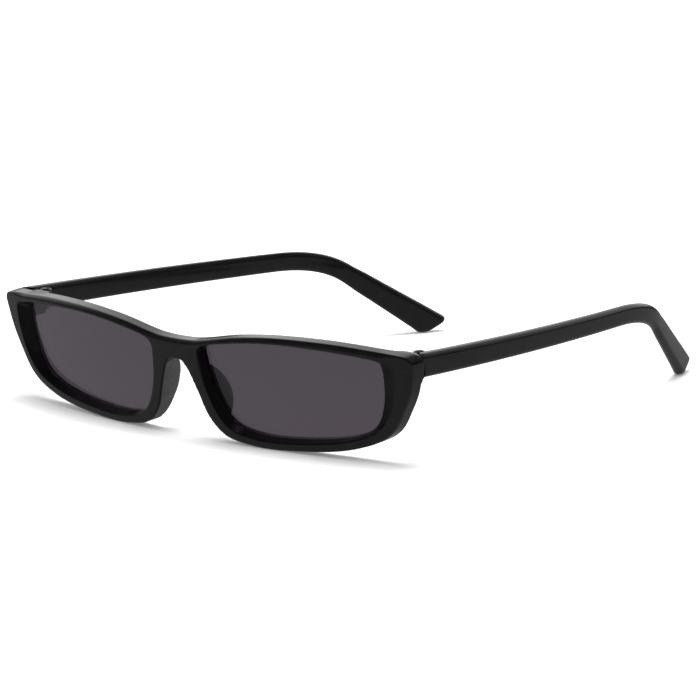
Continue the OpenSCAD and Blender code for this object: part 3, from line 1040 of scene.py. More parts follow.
@dataclass(frozen=True)
class SmokeGlass:
    """A smoke grey tinted lens.

    Args:
        name: The material's name.
        tint: Colour of what passes through it.
        index: Its index of refraction.
        deepest: Its deepest tone, as a share of the tint.
        cloud_scale: Scale of the faint changes in its tint, per metre.
        cloud_stretch: How much they are squeezed along each axis.
    """

    name: str
    tint: tuple[float, float, float]
    index: float = 1.5
    deepest: float = 0.94
    cloud_scale: float = 18.0
    cloud_stretch: tuple[float, float, float] = (0.4, 0.4, 1.6)

    def material(self) -> bpy.types.Material:
        """Builds the material, polished and with faint changes in its tint.

        Returns:
            The material.
        """
        shader = Shader(self.name)
        clouds = shader.noise(self.cloud_scale, detail=1, stretch=self.cloud_stretch)
        deep = tuple(self.deepest * c for c in self.tint)
        shader.set(IOR=self.index, Transmission_Weight=1.0, Roughness=0.0,
                   Base_Color=shader.mottled(clouds, deep, self.tint))
        return shader.material


@dataclass(frozen=True)
class Nickel:
    """Nickel plated steel with a faint brushed grain.

    Args:
        name: The material's name.
        tone: Its colour.
        roughness: Its lowest and highest roughness.
        darkest: Its darkest tone, as a share of its colour.
        mottle_scale: Scale of the changes in its tone, per metre.
        brush_scale: Scale of its brushed grain, per metre.
        brush_stretch: How much the grain is squeezed along each axis.
        grain: Height of its grain, in metres.
        grain_strength: How strongly the grain shows.
    """

    name: str
    tone: tuple[float, float, float]
    roughness: tuple[float, float]
    darkest: float = 0.85
    mottle_scale: float = 1800.0
    brush_scale: float = 2600.0
    brush_stretch: tuple[float, float, float] = (1, 1, 14)
    grain: float = 0.00001
    grain_strength: float = 0.3

    def material(self) -> bpy.types.Material:
        """Builds the material.

        Returns:
            The material.
        """
        shader = Shader(self.name)
        brushed = shader.noise(self.brush_scale, detail=4, stretch=self.brush_stretch)
        dark = tuple(self.darkest * c for c in self.tone)
        shader.set(
            Metallic=1.0,
            Base_Color=shader.mottled(shader.noise(self.mottle_scale, detail=3), dark, self.tone),
            Roughness=shader.ranged(brushed, NOISE_SPAN, self.roughness),
            Normal=shader.grained(brushed, self.grain, self.grain_strength),
        )
        return shader.material


class Finishes:
    """The materials of the sunglasses."""

    temple_plastic = Plastic(
        "gloss_black_temple_plastic", (0.003, 0.003, 0.003), (0.0055, 0.0052, 0.0052), (0.10, 0.17), 1.4,
        grain=0.000006, grain_scale=2600
    )
    # The front turns its reflections down on its openings' walls as painted shade
    front_plastic = replace(temple_plastic, name="gloss_black_plastic", recess_shade_shine=0.08)
    pad_plastic = Plastic(
        "satin_black_plastic", (0.030, 0.031, 0.029), (0.040, 0.041, 0.038), (0.34, 0.46), 1.45,
        grain=0.00001, grain_scale=5200
    )
    lens_glass = SmokeGlass("smoke_tinted_lens", (0.186, 0.150, 0.190))
    metal = Nickel("black_nickel_plating", (0.12, 0.12, 0.12), (0.22, 0.40))

    def __init__(self) -> None:
        """Builds each material once."""
        self.front_gloss = self.front_plastic.material()
        self.temple_gloss = self.temple_plastic.material()
        self.satin = self.pad_plastic.material()
        self.glass = self.lens_glass.material()
        self.nickel = self.metal.material()


@dataclass
class Front:
    """The moulded front.

    Args:
        form: Its shape.
        cell: Edge length of its quads.
        room: How far the space that is meshed reaches beyond the front, below and above.
    """

    form: FrontForm
    cell: float = 0.31
    room: tuple[tuple, tuple] = ((0.6, 7.0, 0.9), (0.6, 0.8, 3.0))

    def build(self, finishes: Finishes) -> None:
        """Builds the front and dresses it.

        Args:
            finishes: The materials.
        """
        form = self.form
        low = np.array([-form.side_u, 0, 0]) - self.room[0]
        high = np.array([form.side_u, form.block_y, form.joint_top]) + self.room[1]
        points, quads = SkinMesher(self.cell).skin(form.front, low, high)
        moulding = moulded("front_moulding", points, quads, form.middle_y, finishes.front_gloss)
        # Marks the openings' walls, whose reflections are turned down as painted shade
        recess_shade = moulding.data.attributes.new("recess_shade", "FLOAT", "POINT")
        recess_shade.data.foreach_set("value", form.recess_shade(points))
        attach(moulding, "front")
        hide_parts("front_frame")
        LOG.info("front_moulding: %d quads", len(quads))


@dataclass
class NosePads:
    """The two built-up nose pads.

    Args:
        form: The front's shape.
        cell: Edge length of their quads.
        room: The lowest and highest corner of the space that is meshed.
    """

    form: FrontForm
    cell: float = 0.22
    room: tuple[tuple, tuple] = ((1.0, -6.0, 0.5), (18.0, 12.0, 23.0))

    def build(self, finishes: Finishes) -> None:
        """Builds both pads and dresses them.

        Args:
            finishes: The materials.
        """
        form = self.form
        points, quads = SkinMesher(self.cell).skin(form.pad_upright, *self.room)
        for side in Side:
            name = f"pad_moulding_{side.word}"
            pad = moulded(name, points, quads, form.middle_y, finishes.satin, side)
            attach(pad, "front")
            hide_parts(f"nose_pad_{side.word}")
            LOG.info("%s: %d quads", pad.name, len(quads))


@dataclass
class Lenses:
    """The two curved lenses.

    Args:
        form: The front's shape.
        rings: Rings of faces from the edge to the middle.
        bevel: Width of the bevel on the edge.
        sharp_deg: Angle between faces from which an edge stays sharp.
    """

    form: FrontForm
    rings: int = 18
    bevel: float = 0.12
    sharp_deg: float = 25.0

    def grown(self, by: float) -> np.ndarray:
        """Moves the lens outline outwards.

        Args:
            by: How far.

        Returns:
            The moved outline.
        """
        loop = self.form.lens_opening
        run = np.roll(loop, -1, axis=0) - np.roll(loop, 1, axis=0)
        outwards = np.stack([-run[:, 1], run[:, 0]], axis=1)
        return loop + by * outwards / np.linalg.norm(run, axis=1)[:, None]

    def ring(self, outline: np.ndarray, depth: float) -> np.ndarray:
        """An outline laid on the surface at a depth behind the face."""
        v = self.form.wrap_v(outline[:, 0], depth)
        return self.form.upright(np.stack([outline[:, 0], v, outline[:, 1]], axis=1))

    def build(self, finishes: Finishes) -> None:
        """Builds both lenses and dresses them.

        Args:
            finishes: The materials.
        """
        form = self.form
        rim = self.grown(form.lens_seat - form.lens_gap)
        inset = self.grown(form.lens_seat - form.lens_gap - self.bevel)
        middle = rim.mean(axis=0)
        shares = np.linspace(1, 0, self.rings + 1)[:-1]
        front_z, back_z = form.lens_depth, form.lens_depth + form.lens_t
        loops = [self.ring(middle + s * (inset - middle), front_z) for s in shares[::-1]]
        loops += [self.ring(rim, front_z + self.bevel), self.ring(rim, back_z - self.bevel)]
        loops += [self.ring(middle + s * (inset - middle), back_z) for s in shares]
        n = len(rim)
        caps = [self.ring(middle[None], front_z), self.ring(middle[None], back_z)]
        points = np.concatenate(loops + caps)
        faces: list[tuple[int, ...]] = []
        for r in range(len(loops) - 1):
            for k in range(n):
                a, b = r * n + k, r * n + (k + 1) % n
                faces.append((a, b, b + n, a + n))
        last = (len(loops) - 1) * n
        for k in range(n):
            faces.append((len(points) - 2, (k + 1) % n, k))
            faces.append((len(points) - 1, last + k, last + (k + 1) % n))
        for side in Side:
            lens = moulded(f"smoke_lens_{side.word}", points, faces, form.middle_y, finishes.glass, side)
            face_outwards(lens.data)
            lens.data.set_sharp_from_angle(angle=math.radians(self.sharp_deg))
            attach(lens, "front")
            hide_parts(f"lens_{side.word}")
            LOG.info("%s: %d faces", lens.name, len(faces))


class Tree(Nodes):
    """A Geometry Nodes tree with named inputs."""

    def __init__(self, name: str, inputs: dict[str, str]) -> None:
        """Makes the tree.

        Args:
            name: The tree's name.
            inputs: The name and socket type of each input.
        """
        super().__init__(bpy.data.node_groups.new(name, "GeometryNodeTree"))
        self.tree.is_modifier = True
        self.sockets: dict[str, str] = {}
        for key, kind in {"Geometry": "NodeSocketGeometry", **inputs}.items():
            item = self.tree.interface.new_socket(key, in_out="INPUT", socket_type=kind)
            self.sockets[key] = item.identifier
        self.tree.interface.new_socket("Geometry", in_out="OUTPUT", socket_type="NodeSocketGeometry")
        self.source = self.tree.nodes.new("NodeGroupInput")

    def given(self, key: str) -> bpy.types.NodeSocket:
        """One of the tree's inputs, as a socket."""
        return self.source.outputs[key]

    def closed(self, geometry: bpy.types.NodeSocket) -> None:
        """Ends the tree in Realize Instances and Set Material.

        Args:
            geometry: What the tree has made.
        """
        real = self.add("RealizeInstances", {0: geometry})
        smooth = self.add("SetShadeSmooth", {0: real})
        dressed = self.add("SetMaterial", {"Geometry": smooth, "Material": self.given("Material")})
        self.fill(self.tree.nodes.new("NodeGroupOutput"), {0: dressed})

    def result(self, mesh: bpy.types.Mesh, values: dict[str, object]) -> bpy.types.Mesh:
        """Runs the tree on a mesh.

        Args:
            mesh: The mesh that the tree starts from.
            values: A value for each input, by name.

        Returns:
            The result as a plain mesh.
        """
        host = in_scene(self.tree.name, mesh)
        modifier = host.modifiers.new(self.tree.name, "NODES")
        modifier.node_group = self.tree
        for key, value in values.items():
            modifier[self.sockets[key]] = value
        graph = bpy.context.evaluated_depsgraph_get()
        made = bpy.data.meshes.new_from_object(host.evaluated_get(graph), depsgraph=graph)
        host.modifiers.remove(modifier)
        bpy.data.objects.remove(host)
        return made


def knuckle_tree(sides: int = 72, edge_steps: int = 4) -> Tree:
    """Builds the tree for a stack of hinge barrels with a bore and rounded rims.

    Args:
        sides: Faces round a barrel.
        edge_steps: Points on each rounded edge.

    Returns:
        The tree.
    """
    t = Tree("hinge_knuckles", {
        "Count": "NodeSocketInt", "Base": "NodeSocketVector", "Pitch": "NodeSocketFloat",
        "Height": "NodeSocketFloat", "Outer Radius": "NodeSocketFloat", "Bore Radius": "NodeSocketFloat",
        "Edge Round": "NodeSocketFloat", "Material": "NodeSocketMaterial",
    })
    outer, bore = t.given("Outer Radius"), t.given("Bore Radius")
    middle = t.maths("DIVIDE", t.maths("ADD", outer, bore), 2.0)
    circle = t.add("CurvePrimitiveCircle", {"Resolution": sides, "Radius": middle})
    wall = t.add("CurvePrimitiveQuadrilateral", {
        "Width": t.maths("SUBTRACT", outer, bore), "Height": t.given("Height"),
    })
    rounded = t.add("FilletCurve", {
        "Curve": wall, "Count": edge_steps, "Radius": t.given("Edge Round"), "Limit Radius": True,
    }, mode="POLY")
    barrel = t.add("CurveToMesh", {"Curve": circle, "Profile Curve": rounded})
    pitch = t.add("ShaderNodeCombineXYZ", {"Z": t.given("Pitch")})
    line = t.add("MeshLine", {"Count": t.given("Count"), "Start Location": t.given("Base"), "Offset": pitch})
    t.closed(t.add("InstanceOnPoints", {"Points": line, "Instance": barrel}))
    return t


def sweep_tree() -> Tree:
    """Builds the tree that sweeps a rounded rectangle along a line.

    The line's points carry its place, directions, half width, half height and radius.

    Returns:
        The tree.
    """
    t = Tree("temple_sweep", {"Profile Points": "NodeSocketInt", "Material": "NodeSocketMaterial"})
    count = t.given("Profile Points")
    circle = t.add("CurvePrimitiveCircle", {"Resolution": count, "Radius": 1.0})
    place = t.maths("MULTIPLY", t.maths("ADD", t.add("InputIndex"), 0.5), 2 * math.pi)
    turn = t.maths("DIVIDE", place, count)
    ring = t.add("StoreNamedAttribute", {"Geometry": circle, "Name": "turn", "Value": turn},
                 data_type="FLOAT", domain="POINT")
    rail = t.add("MeshToCurve", {"Mesh": t.given("Geometry")})
    swept = t.add("CurveToMesh", {"Curve": rail, "Profile Curve": ring, "Fill Caps": True})

    def carried(name: str, kind: str = "FLOAT") -> bpy.types.NodeSocket:
        """Reads what the line's points carry."""
        return t.add("InputNamedAttribute", {"Name": name}, out="Attribute", data_type=kind)

    angle = carried("turn")
    # The corner's own angle, stretched so that it starts and ends flat against the sides
    eighth = math.pi / 4
    spread = t.maths("DIVIDE", eighth, t.maths("SUBTRACT", eighth, t.maths("DIVIDE", math.pi, count)))
    legs = [t.maths("COSINE", angle), t.maths("SINE", angle)]
    corner = t.maths("ARCTAN2", t.maths("ABSOLUTE", legs[1]), t.maths("ABSOLUTE", legs[0]))
    corner = t.maths("ADD", t.maths("MULTIPLY", t.maths("SUBTRACT", corner, eighth), spread), eighth)
    radius = carried("corner_r")
    spot = carried("rail_place", "FLOAT_VECTOR")
    for leg, half, way, reach in (
        (legs[0], "half_t", "across", t.maths("COSINE", corner)),
        (legs[1], "half_h", "rise", t.maths("SINE", corner)),
    ):
        size = t.maths("ADD", t.maths("SUBTRACT", carried(half), radius), t.maths("MULTIPLY", radius, reach))
        size = t.maths("MULTIPLY", size, t.maths("SIGN", leg))
        scaled = {0: carried(way, "FLOAT_VECTOR"), "Scale": size}
        shift = t.add("ShaderNodeVectorMath", scaled, operation="SCALE")
        spot = t.add("ShaderNodeVectorMath", {0: spot, 1: shift}, operation="ADD")
    t.closed(t.add("SetPosition", {"Geometry": swept, "Position": spot}))
    return t


@dataclass
class Temples:
    """The two temples, swept from the hinge over the bend to the tip, in millimetres.

    Args:
        form: The front's shape.
        run: Distance from the joint to the start of the bend.
        tail: Distance from the middle of the bend to the end of the tip.
        bend_h: Height at the bend.
        tip_h: Height of the tip.
        bend_t: Thickness at the bend.
        tip_t: Thickness of the tip.
        edge_r: Radius on the edges.
        starts_before: How far before the joint the line starts, to be cut at the mitre.
        comes_in: How far a temple comes in towards the head by the bend.
        falls: How far it falls by the bend.
        bend_reach: Distance from the start of the bend to its middle.
        bend_back: Distance from the middle of the bend to its end.
        tip_in_deg: Angle at which the tail turns in.
        tip_slant: How far the tip's end leans, for each millimetre of height.
        slant_from: The share of the tail at which that lean starts.
        tip_edge: Radius on the tip's end.
        tip_thin: The share of that radius that is taken off the tip's sides.
        tip_round: How much larger the radius on the edges is at the tip.
        drop_guess_deg: About how far the tail drops, to find the point that it rests on.
        widening_power: How late the tail widens, as a power.
        waist: The share of the tail by which as large a share of the widening is reached.
        least_r: The smallest radius on the edges.
        cut_r: Radius on the cut at the hinge.
        steps: How many places the run, the bend, the tail and the tip's end get.
        profile_points: Points round the profile.
    """

    form: FrontForm
    run: float = 88.0
    tail: float = 41.0
    bend_h: float = 5.0
    tip_h: float = 7.5
    bend_t: float = 2.5
    tip_t: float = 3.1
    edge_r: float = 1.3
    starts_before: float = 1.5
    comes_in: float = 7.6
    falls: float = 1.4
    bend_reach: float = 15.0
    bend_back: float = 9.0
    tip_in_deg: float = 22.4
    tip_slant: float = 0.63
    slant_from: float = 0.85
    tip_edge: float = 2.0
    tip_thin: float = 0.45
    tip_round: float = 0.4
    drop_guess_deg: float = 31.0
    widening_power: float = 1.4
    waist: float = 0.35
    least_r: float = 0.15
    cut_r: float = 0.08
    steps: tuple[int, int, int, int] = (60, 40, 30, 15)
    profile_points: int = 44

    def __post_init__(self) -> None:
        """Works out the bend and the drop of the tail."""
        f = self.form
        self.start = np.array([f.side_u - f.joint.temple_t / 2, f.joint_y - self.starts_before, f.hinge_z])
        self.bend = self.start + [-self.comes_in, self.run, -self.falls]
        self.control = self.start + [0, self.run / 2, -self.falls / 2]
        way = self.bend - self.control
        self.middle = self.bend + self.bend_reach * way / np.linalg.norm(way)
        heel_drop = self.tip_h / 2 - self.tip_edge
        heel_run = self.tail - self.tip_slant * heel_drop - self.tip_edge
        guess = math.radians(self.drop_guess_deg)
        upright = math.cos(guess) - self.tip_slant * math.sin(guess)
        reach = self.tip_edge * math.hypot(math.sin(guess), upright)
        drop = math.asin((self.middle[2] - reach) / math.hypot(heel_run, heel_drop))
        drop -= math.atan2(heel_drop, heel_run)
        turn = math.radians(self.tip_in_deg)
        self.tail_way = np.array([
            -math.sin(turn) * math.cos(drop), math.cos(turn) * math.cos(drop), -math.sin(drop)
        ])
        self.bend_end = self.middle + self.bend_back * self.tail_way

    def stations(self) -> dict[str, np.ndarray]:
        """Places, directions and sizes all along a temple.

        Returns:
            What each point of the line carries, by name, in millimetres.
        """
        def arc(a: np.ndarray, b: np.ndarray, c: np.ndarray, count: int) -> tuple[np.ndarray, ...]:
            """Draws a curve whose ends head for one corner.

            Args:
                a: Where it starts.
                b: The corner.
                c: Where it ends.
                count: How many places it gets.

            Returns:
                The places, the directions there and their shares of the curve.
            """
            t = np.linspace(0, 1, count, endpoint=False)[:, None]
            where = (1 - t) ** 2 * a + 2 * t * (1 - t) * b + t**2 * c
            return where, (1 - t) * (b - a) + t * (c - b), t[:, 0]

        def sized(at_joint: float, at_bend: float, at_tip: float) -> np.ndarray:
            """A size all along: even from joint to bend, then widening to the tip."""
            fore = at_joint + (at_bend - at_joint) * share
            return np.where(share < 1, fore, at_bend + (at_tip - at_bend) * widening)

        joint = self.form.joint
        run_steps, bend_steps, tail_steps, end_steps = self.steps
        run_p, run_w, run_s = arc(self.start, self.control, self.bend, run_steps)
        bend_p, bend_w, bend_s = arc(self.bend, self.middle, self.bend_end, bend_steps)
        ends_at = self.tail - self.tip_edge
        straight = np.linspace(self.bend_back, ends_at, tail_steps, endpoint=False)
        turns = np.radians(np.linspace(0, 90, end_steps))
        along = np.concatenate([straight, self.tail - self.tip_edge * (1 - np.sin(turns))])
        before = np.zeros(run_steps + bend_steps)
        inset = np.concatenate([before, 0 * straight, self.tip_edge * (1 - np.cos(turns))])
        place = np.concatenate([run_p, bend_p, self.middle + along[:, None] * self.tail_way])
        way = np.concatenate([run_w, bend_w, np.tile(self.tail_way, (len(along), 1))])
        way /= np.linalg.norm(way, axis=1)[:, None]
        # Shares go from 0 to 1 along the run, on to 2 along the bend and to 3 along the tail
        tail_s = np.interp(along, [self.bend_back, self.waist * self.tail, self.tail], [2, 2 + self.waist, 3])
        share = np.concatenate([run_s, 1 + bend_s, tail_s])
        widening = np.clip(share - 2, 0, 1) ** self.widening_power
        height = sized(joint.temple_h, self.bend_h, self.tip_h)
        thick = sized(joint.temple_t, self.bend_t, self.tip_t)
        side = np.cross(way, [0, 0, 1.0])
        side /= np.linalg.norm(side, axis=1)[:, None]
        flat_end = self.slant_from * self.tail
        lean = self.tip_slant * np.clip((along - flat_end) / (ends_at - flat_end), 0, 1)
        lean = np.concatenate([before, lean])
        corner_r = self.edge_r + self.tip_round * widening - self.tip_thin * inset
        return {
            "rail_place": place, "across": side, "rise": np.cross(side, way) + lean[:, None] * way,
            "half_t": thick / 2 - self.tip_thin * inset, "half_h": height / 2 - inset,
            "corner_r": np.maximum(self.least_r, corner_r),
        }

    def rail(self) -> bpy.types.Mesh:
        """Draws the line that the sweep follows.

        Returns:
            The line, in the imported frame, with what its points carry.
        """
        carried = self.stations()
        place = (carried["rail_place"] - [0, self.form.middle_y, 0]) * MM
        mesh = bpy.data.meshes.new("temple_rail")
        mesh.from_pydata(place.tolist(), [(i, i + 1) for i in range(len(place) - 1)], [])
        carried["rail_place"] = place
        for name, values in carried.items():
            vector = values.ndim == 2
            attribute = mesh.attributes.new(name, "FLOAT_VECTOR" if vector else "FLOAT", "POINT")
            scaled = values if vector else values * MM
            attribute.data.foreach_set("vector" if vector else "value", scaled.ravel().astype(np.float32))
        return mesh

    def cut_at_mitre(self, bm: bmesh.types.BMesh) -> None:
        """Cuts a temple's end at the mitre and rounds the cut's edge a little.

        Args:
            bm: The left temple's mesh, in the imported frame.
        """
        f, j = self.form, self.form.joint
        normal = np.array([j.mitre, j.temple_t]) / math.hypot(j.mitre, j.temple_t)
        way = Vector((normal[0], normal[1] * f.cos_tilt, normal[1] * f.sin_tilt))
        corner = f.upright(np.array([f.side_u, f.mitre_v + j.joint_gap, f.hinge_z]))[0]
        place = Vector((corner - [0, f.middle_y, 0]) * MM)
        bmesh.ops.bisect_plane(bm, geom=bm.verts[:] + bm.edges[:] + bm.faces[:], dist=MERGE_M,
                               plane_co=place, plane_no=way, clear_inner=True)
        rim = [e for e in bm.edges if e.is_boundary]
        made = bmesh.ops.contextual_create(bm, geom=rim)
        edges = [e for face in made["faces"] for e in face.edges]
        bmesh.ops.bevel(bm, geom=edges, offset=self.cut_r * MM, segments=2, profile=0.5, affect="EDGES")
        bmesh.ops.recalc_face_normals(bm, faces=bm.faces)

    def build(self, finishes: Finishes) -> None:
        """Builds both temples and dresses them.

        Args:
            finishes: The materials.
        """
        gloss = finishes.temple_gloss
        mesh = sweep_tree().result(self.rail(), {"Profile Points": self.profile_points, "Material": gloss})
        for name in (*self.stations(), "turn"):
            mesh.attributes.remove(mesh.attributes[name])
        bm = bmesh.new()
        bm.from_mesh(mesh)
        bmesh.ops.remove_doubles(bm, verts=bm.verts, dist=MERGE_M)
        self.cut_at_mitre(bm)
        for side in Side:
            copy = bm.copy()
            if side is Side.RIGHT:
                bmesh.ops.scale(copy, vec=(-1, 1, 1), verts=copy.verts)
                bmesh.ops.reverse_faces(copy, faces=copy.faces)
            own = bpy.data.meshes.new(f"temple_moulding_{side.word}")
            copy.to_mesh(own)
            copy.free()
            own.shade_smooth()
            own.materials.append(gloss)
            temple = in_scene(own.name, own)
            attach(temple, side.temple_body)
            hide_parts(f"temple_{side.word}")
            LOG.info("%s: %d faces", temple.name, len(own.polygons))
        bm.free()


@dataclass
class Hinges:
    """The two hinges: leaves, barrels and screws, in millimetres.

    Args:
        form: The front's shape.
        cell: Edge length of the leaves' quads.
        screw_cell: Edge length of the screws' quads.
        edge_r: Radius on the leaves' edges.
        barrel_edge_r: Radius on the barrels' rims.
        barrel_lap: How far the webs run into their barrels.
        web_fillet: Fillets between the webs and the plate, and between web and tongue.
        screw_edge_r: Radius on the screws' edges.
        under_head_r: Radius under their heads.
        dome_r: Radius of the domed heads.
        slot_half: Half the width of their slots.
        slot_share: Depth of the slots, as a share of the heads' height.
        room: How far the space that is meshed reaches below and beyond the hinge's middle.
    """

    form: FrontForm
    cell: float = 0.14
    screw_cell: float = 0.085
    edge_r: float = 0.12
    barrel_edge_r: float = 0.14
    barrel_lap: float = 0.1
    web_fillet: tuple[float, float] = (0.1, 0.15)
    screw_edge_r: float = 0.12
    under_head_r: float = 0.06
    dome_r: float = 4.0
    slot_half: float = 0.17
    slot_share: float = 0.6
    room: tuple[tuple, tuple] = ((2.6, 6.2, 3.4), (5.6, 9.4, 3.6))

    def __post_init__(self) -> None:
        """Works out the hinge's middle and the height of the front leaf's barrels."""
        f, j = self.form, self.form.joint
        self.middle = np.array([f.hinge_x, f.hinge_y, f.hinge_z])
        self.outer_h = (j.hinge_h - j.middle_h) / 2 - j.barrel_gap

    def off_axis(self, p: np.ndarray) -> np.ndarray:
        """Distance of points from the hinge's axis."""
        return np.hypot(p[:, 0] - self.middle[0], p[:, 1] - self.middle[1])

    def front_leaf(self, p: np.ndarray) -> np.ndarray:
        """The distance to the front leaf, with the webs that lead to its barrels.

        Args:
            p: Points in the upright frame, one row each.

        Returns:
            The signed distance of each.
        """
        f, j = self.form, self.form.joint
        x0, x1 = f.hinge_x - j.leaf_t / 2, f.hinge_x + j.leaf_t / 2
        plate = block(p, (x0, f.block_y - j.front_leaf_len, f.hinge_z - j.leaf_h / 2),
                      (x1, f.block_y + j.leaf_lap + self.edge_r, f.hinge_z + j.leaf_h / 2), self.edge_r)
        low, high = f.hinge_z - j.hinge_h / 2, f.hinge_z + j.hinge_h / 2
        for start, end in ((low, low + self.outer_h), (high - self.outer_h, high)):
            web = block(p, (x0, f.block_y + j.leaf_gap, start), (x1, f.hinge_y, end), self.edge_r)
            plate = join(plate, web, self.web_fillet[0])
        return np.maximum(plate, j.barrel_r - self.barrel_lap - self.off_axis(p))

    def temple_leaf(self, p: np.ndarray) -> np.ndarray:
        """The distance to the temple leaf: the web at the middle barrel and the tongue in the temple.

        Args:
            p: Points in the upright frame, one row each.

        Returns:
            The signed distance of each.
        """
        f, j = self.form, self.form.joint
        x0 = f.side_u - j.temple_t / 2 - j.leaf_t / 2
        x1, y, z = x0 + j.leaf_t, f.hinge_y, f.hinge_z
        web = block(p, (f.hinge_x, y, z - j.middle_h / 2), (x1, y + j.web_y, z + j.middle_h / 2), self.edge_r)
        tongue = block(p, (x0, y, z - j.tongue_h / 2),
                       (x1, y + j.temple_leaf_len, z + j.tongue_h / 2), self.edge_r)
        leaf = join(web, tongue, self.web_fillet[1])
        return np.maximum(leaf, j.barrel_r - self.barrel_lap - self.off_axis(p))

    def screw(self, p: np.ndarray) -> np.ndarray:
        """The distance to a screw: its shank, its domed head and the slot.

        Args:
            p: Points in the upright frame, one row each.

        Returns:
            The signed distance of each.
        """
        j = self.form.joint
        out, up = self.off_axis(p), p[:, 2] - self.middle[2]
        top = j.hinge_h / 2 + j.head_h
        shank = meet(out - j.screw_r, np.abs(up) - j.hinge_h / 2, self.screw_edge_r)
        dome = np.hypot(out, up - top + self.dome_r) - self.dome_r
        head = meet(out - j.head_r, j.hinge_h / 2 - up, self.under_head_r)
        head = meet(head, dome, self.screw_edge_r)
        slot = np.abs(p[:, 1] - self.middle[1]) - self.slot_half
        slot = np.maximum(slot, top - self.slot_share * j.head_h - up)
        return np.maximum(np.minimum(shank, head), -slot)

    def knuckles(self, tree: Tree, count: int, height: float, pitch: float, side: Side,
                 finishes: Finishes) -> bpy.types.Mesh:
        """The barrels of one leaf.

        Args:
            tree: The tree that stacks them.
            count: How many there are.
            height: Height of each.
            pitch: Distance from one to the next.
            side: The hinge's side.
            finishes: The materials.

        Returns:
            Their mesh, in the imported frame.
        """
        j = self.form.joint
        x, y, z = self.middle - [0, self.form.middle_y, pitch * (count - 1) / 2]
        base = (side.value * x * MM, y * MM, z * MM)
        return tree.result(bpy.data.meshes.new("empty_start"), {
            "Count": count, "Base": base, "Pitch": pitch * MM, "Height": height * MM,
            "Outer Radius": j.barrel_r * MM, "Bore Radius": (j.screw_r + j.screw_gap) * MM,
            "Edge Round": self.barrel_edge_r * MM, "Material": finishes.nickel,
        })

    def build(self, finishes: Finishes) -> None:
        """Builds both hinges and dresses them.

        Args:
            finishes: The materials.
        """
        j = self.form.joint
        low, high = self.middle - self.room[0], self.middle + self.room[1]
        leaves = {
            "front_hinge": (self.front_leaf, self.cell, 2, self.outer_h, j.hinge_h - self.outer_h),
            "temple_hinge": (self.temple_leaf, self.cell, 1, j.middle_h, 0.0),
            "hinge_screw": (self.screw, self.screw_cell, 0, 0.0, 0.0),
        }
        tree = knuckle_tree()
        for node, (solid, cell, count, height, pitch) in leaves.items():
            points, quads = SkinMesher(cell).skin(solid, low, high)
            for side in Side:
                name, middle_y = f"{node}_metal_{side.word}", self.form.middle_y
                piece = moulded(name, points, quads, middle_y, finishes.nickel, side)
                if count:
                    barrels = self.knuckles(tree, count, height, pitch, side, finishes)
                    face_outwards(barrels)
                    bm = bmesh.new()
                    bm.from_mesh(piece.data)
                    bm.from_mesh(barrels)
                    bm.to_mesh(piece.data)
                    bm.free()
                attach(piece, side.temple_body if node == "temple_hinge" else "front")
                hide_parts(f"{node}_{side.word}")
                LOG.info("%s: %d faces", piece.name, len(piece.data.polygons))


@dataclass
class HiddenMetal:
    """The pins and core wires, which keep their CAD solids and get the metal's finish."""

    kinds: tuple[str, ...] = ("front_hinge_pins", "temple_core")

    def dress(self, finishes: Finishes) -> None:
        """Gives each solid its finish.

        Args:
            finishes: The materials.
        """
        for kind in self.kinds:
            for side in Side:
                node = frame["nodes"][f"{kind}_{side.word}"]
                node.data.materials.clear()
                node.data.materials.append(finishes.nickel)
                LOG.info("%s: finished", node.name)


@dataclass(frozen=True)
class Softbox:
    """A soft square lamp that looks at the object.

    Args:
        name: The lamp's name.
        place: Where it hangs, in metres.
        size: Its edge length, in metres.
        power: Its power, in watts.
    """

    name: str
    place: tuple[float, float, float]
    size: float
    power: float

    def hang(self) -> None:
        """Hangs the lamp, which isn't mirrored in the plastic."""
        light = bpy.data.lights.new(self.name, "AREA")
        light.size, light.energy = self.size, self.power
        lamp = in_scene(self.name, light)
        lamp.location = self.place
        lamp.rotation_euler = Vector(self.place).to_track_quat("Z", "Y").to_euler()
        lamp.visible_glossy = False


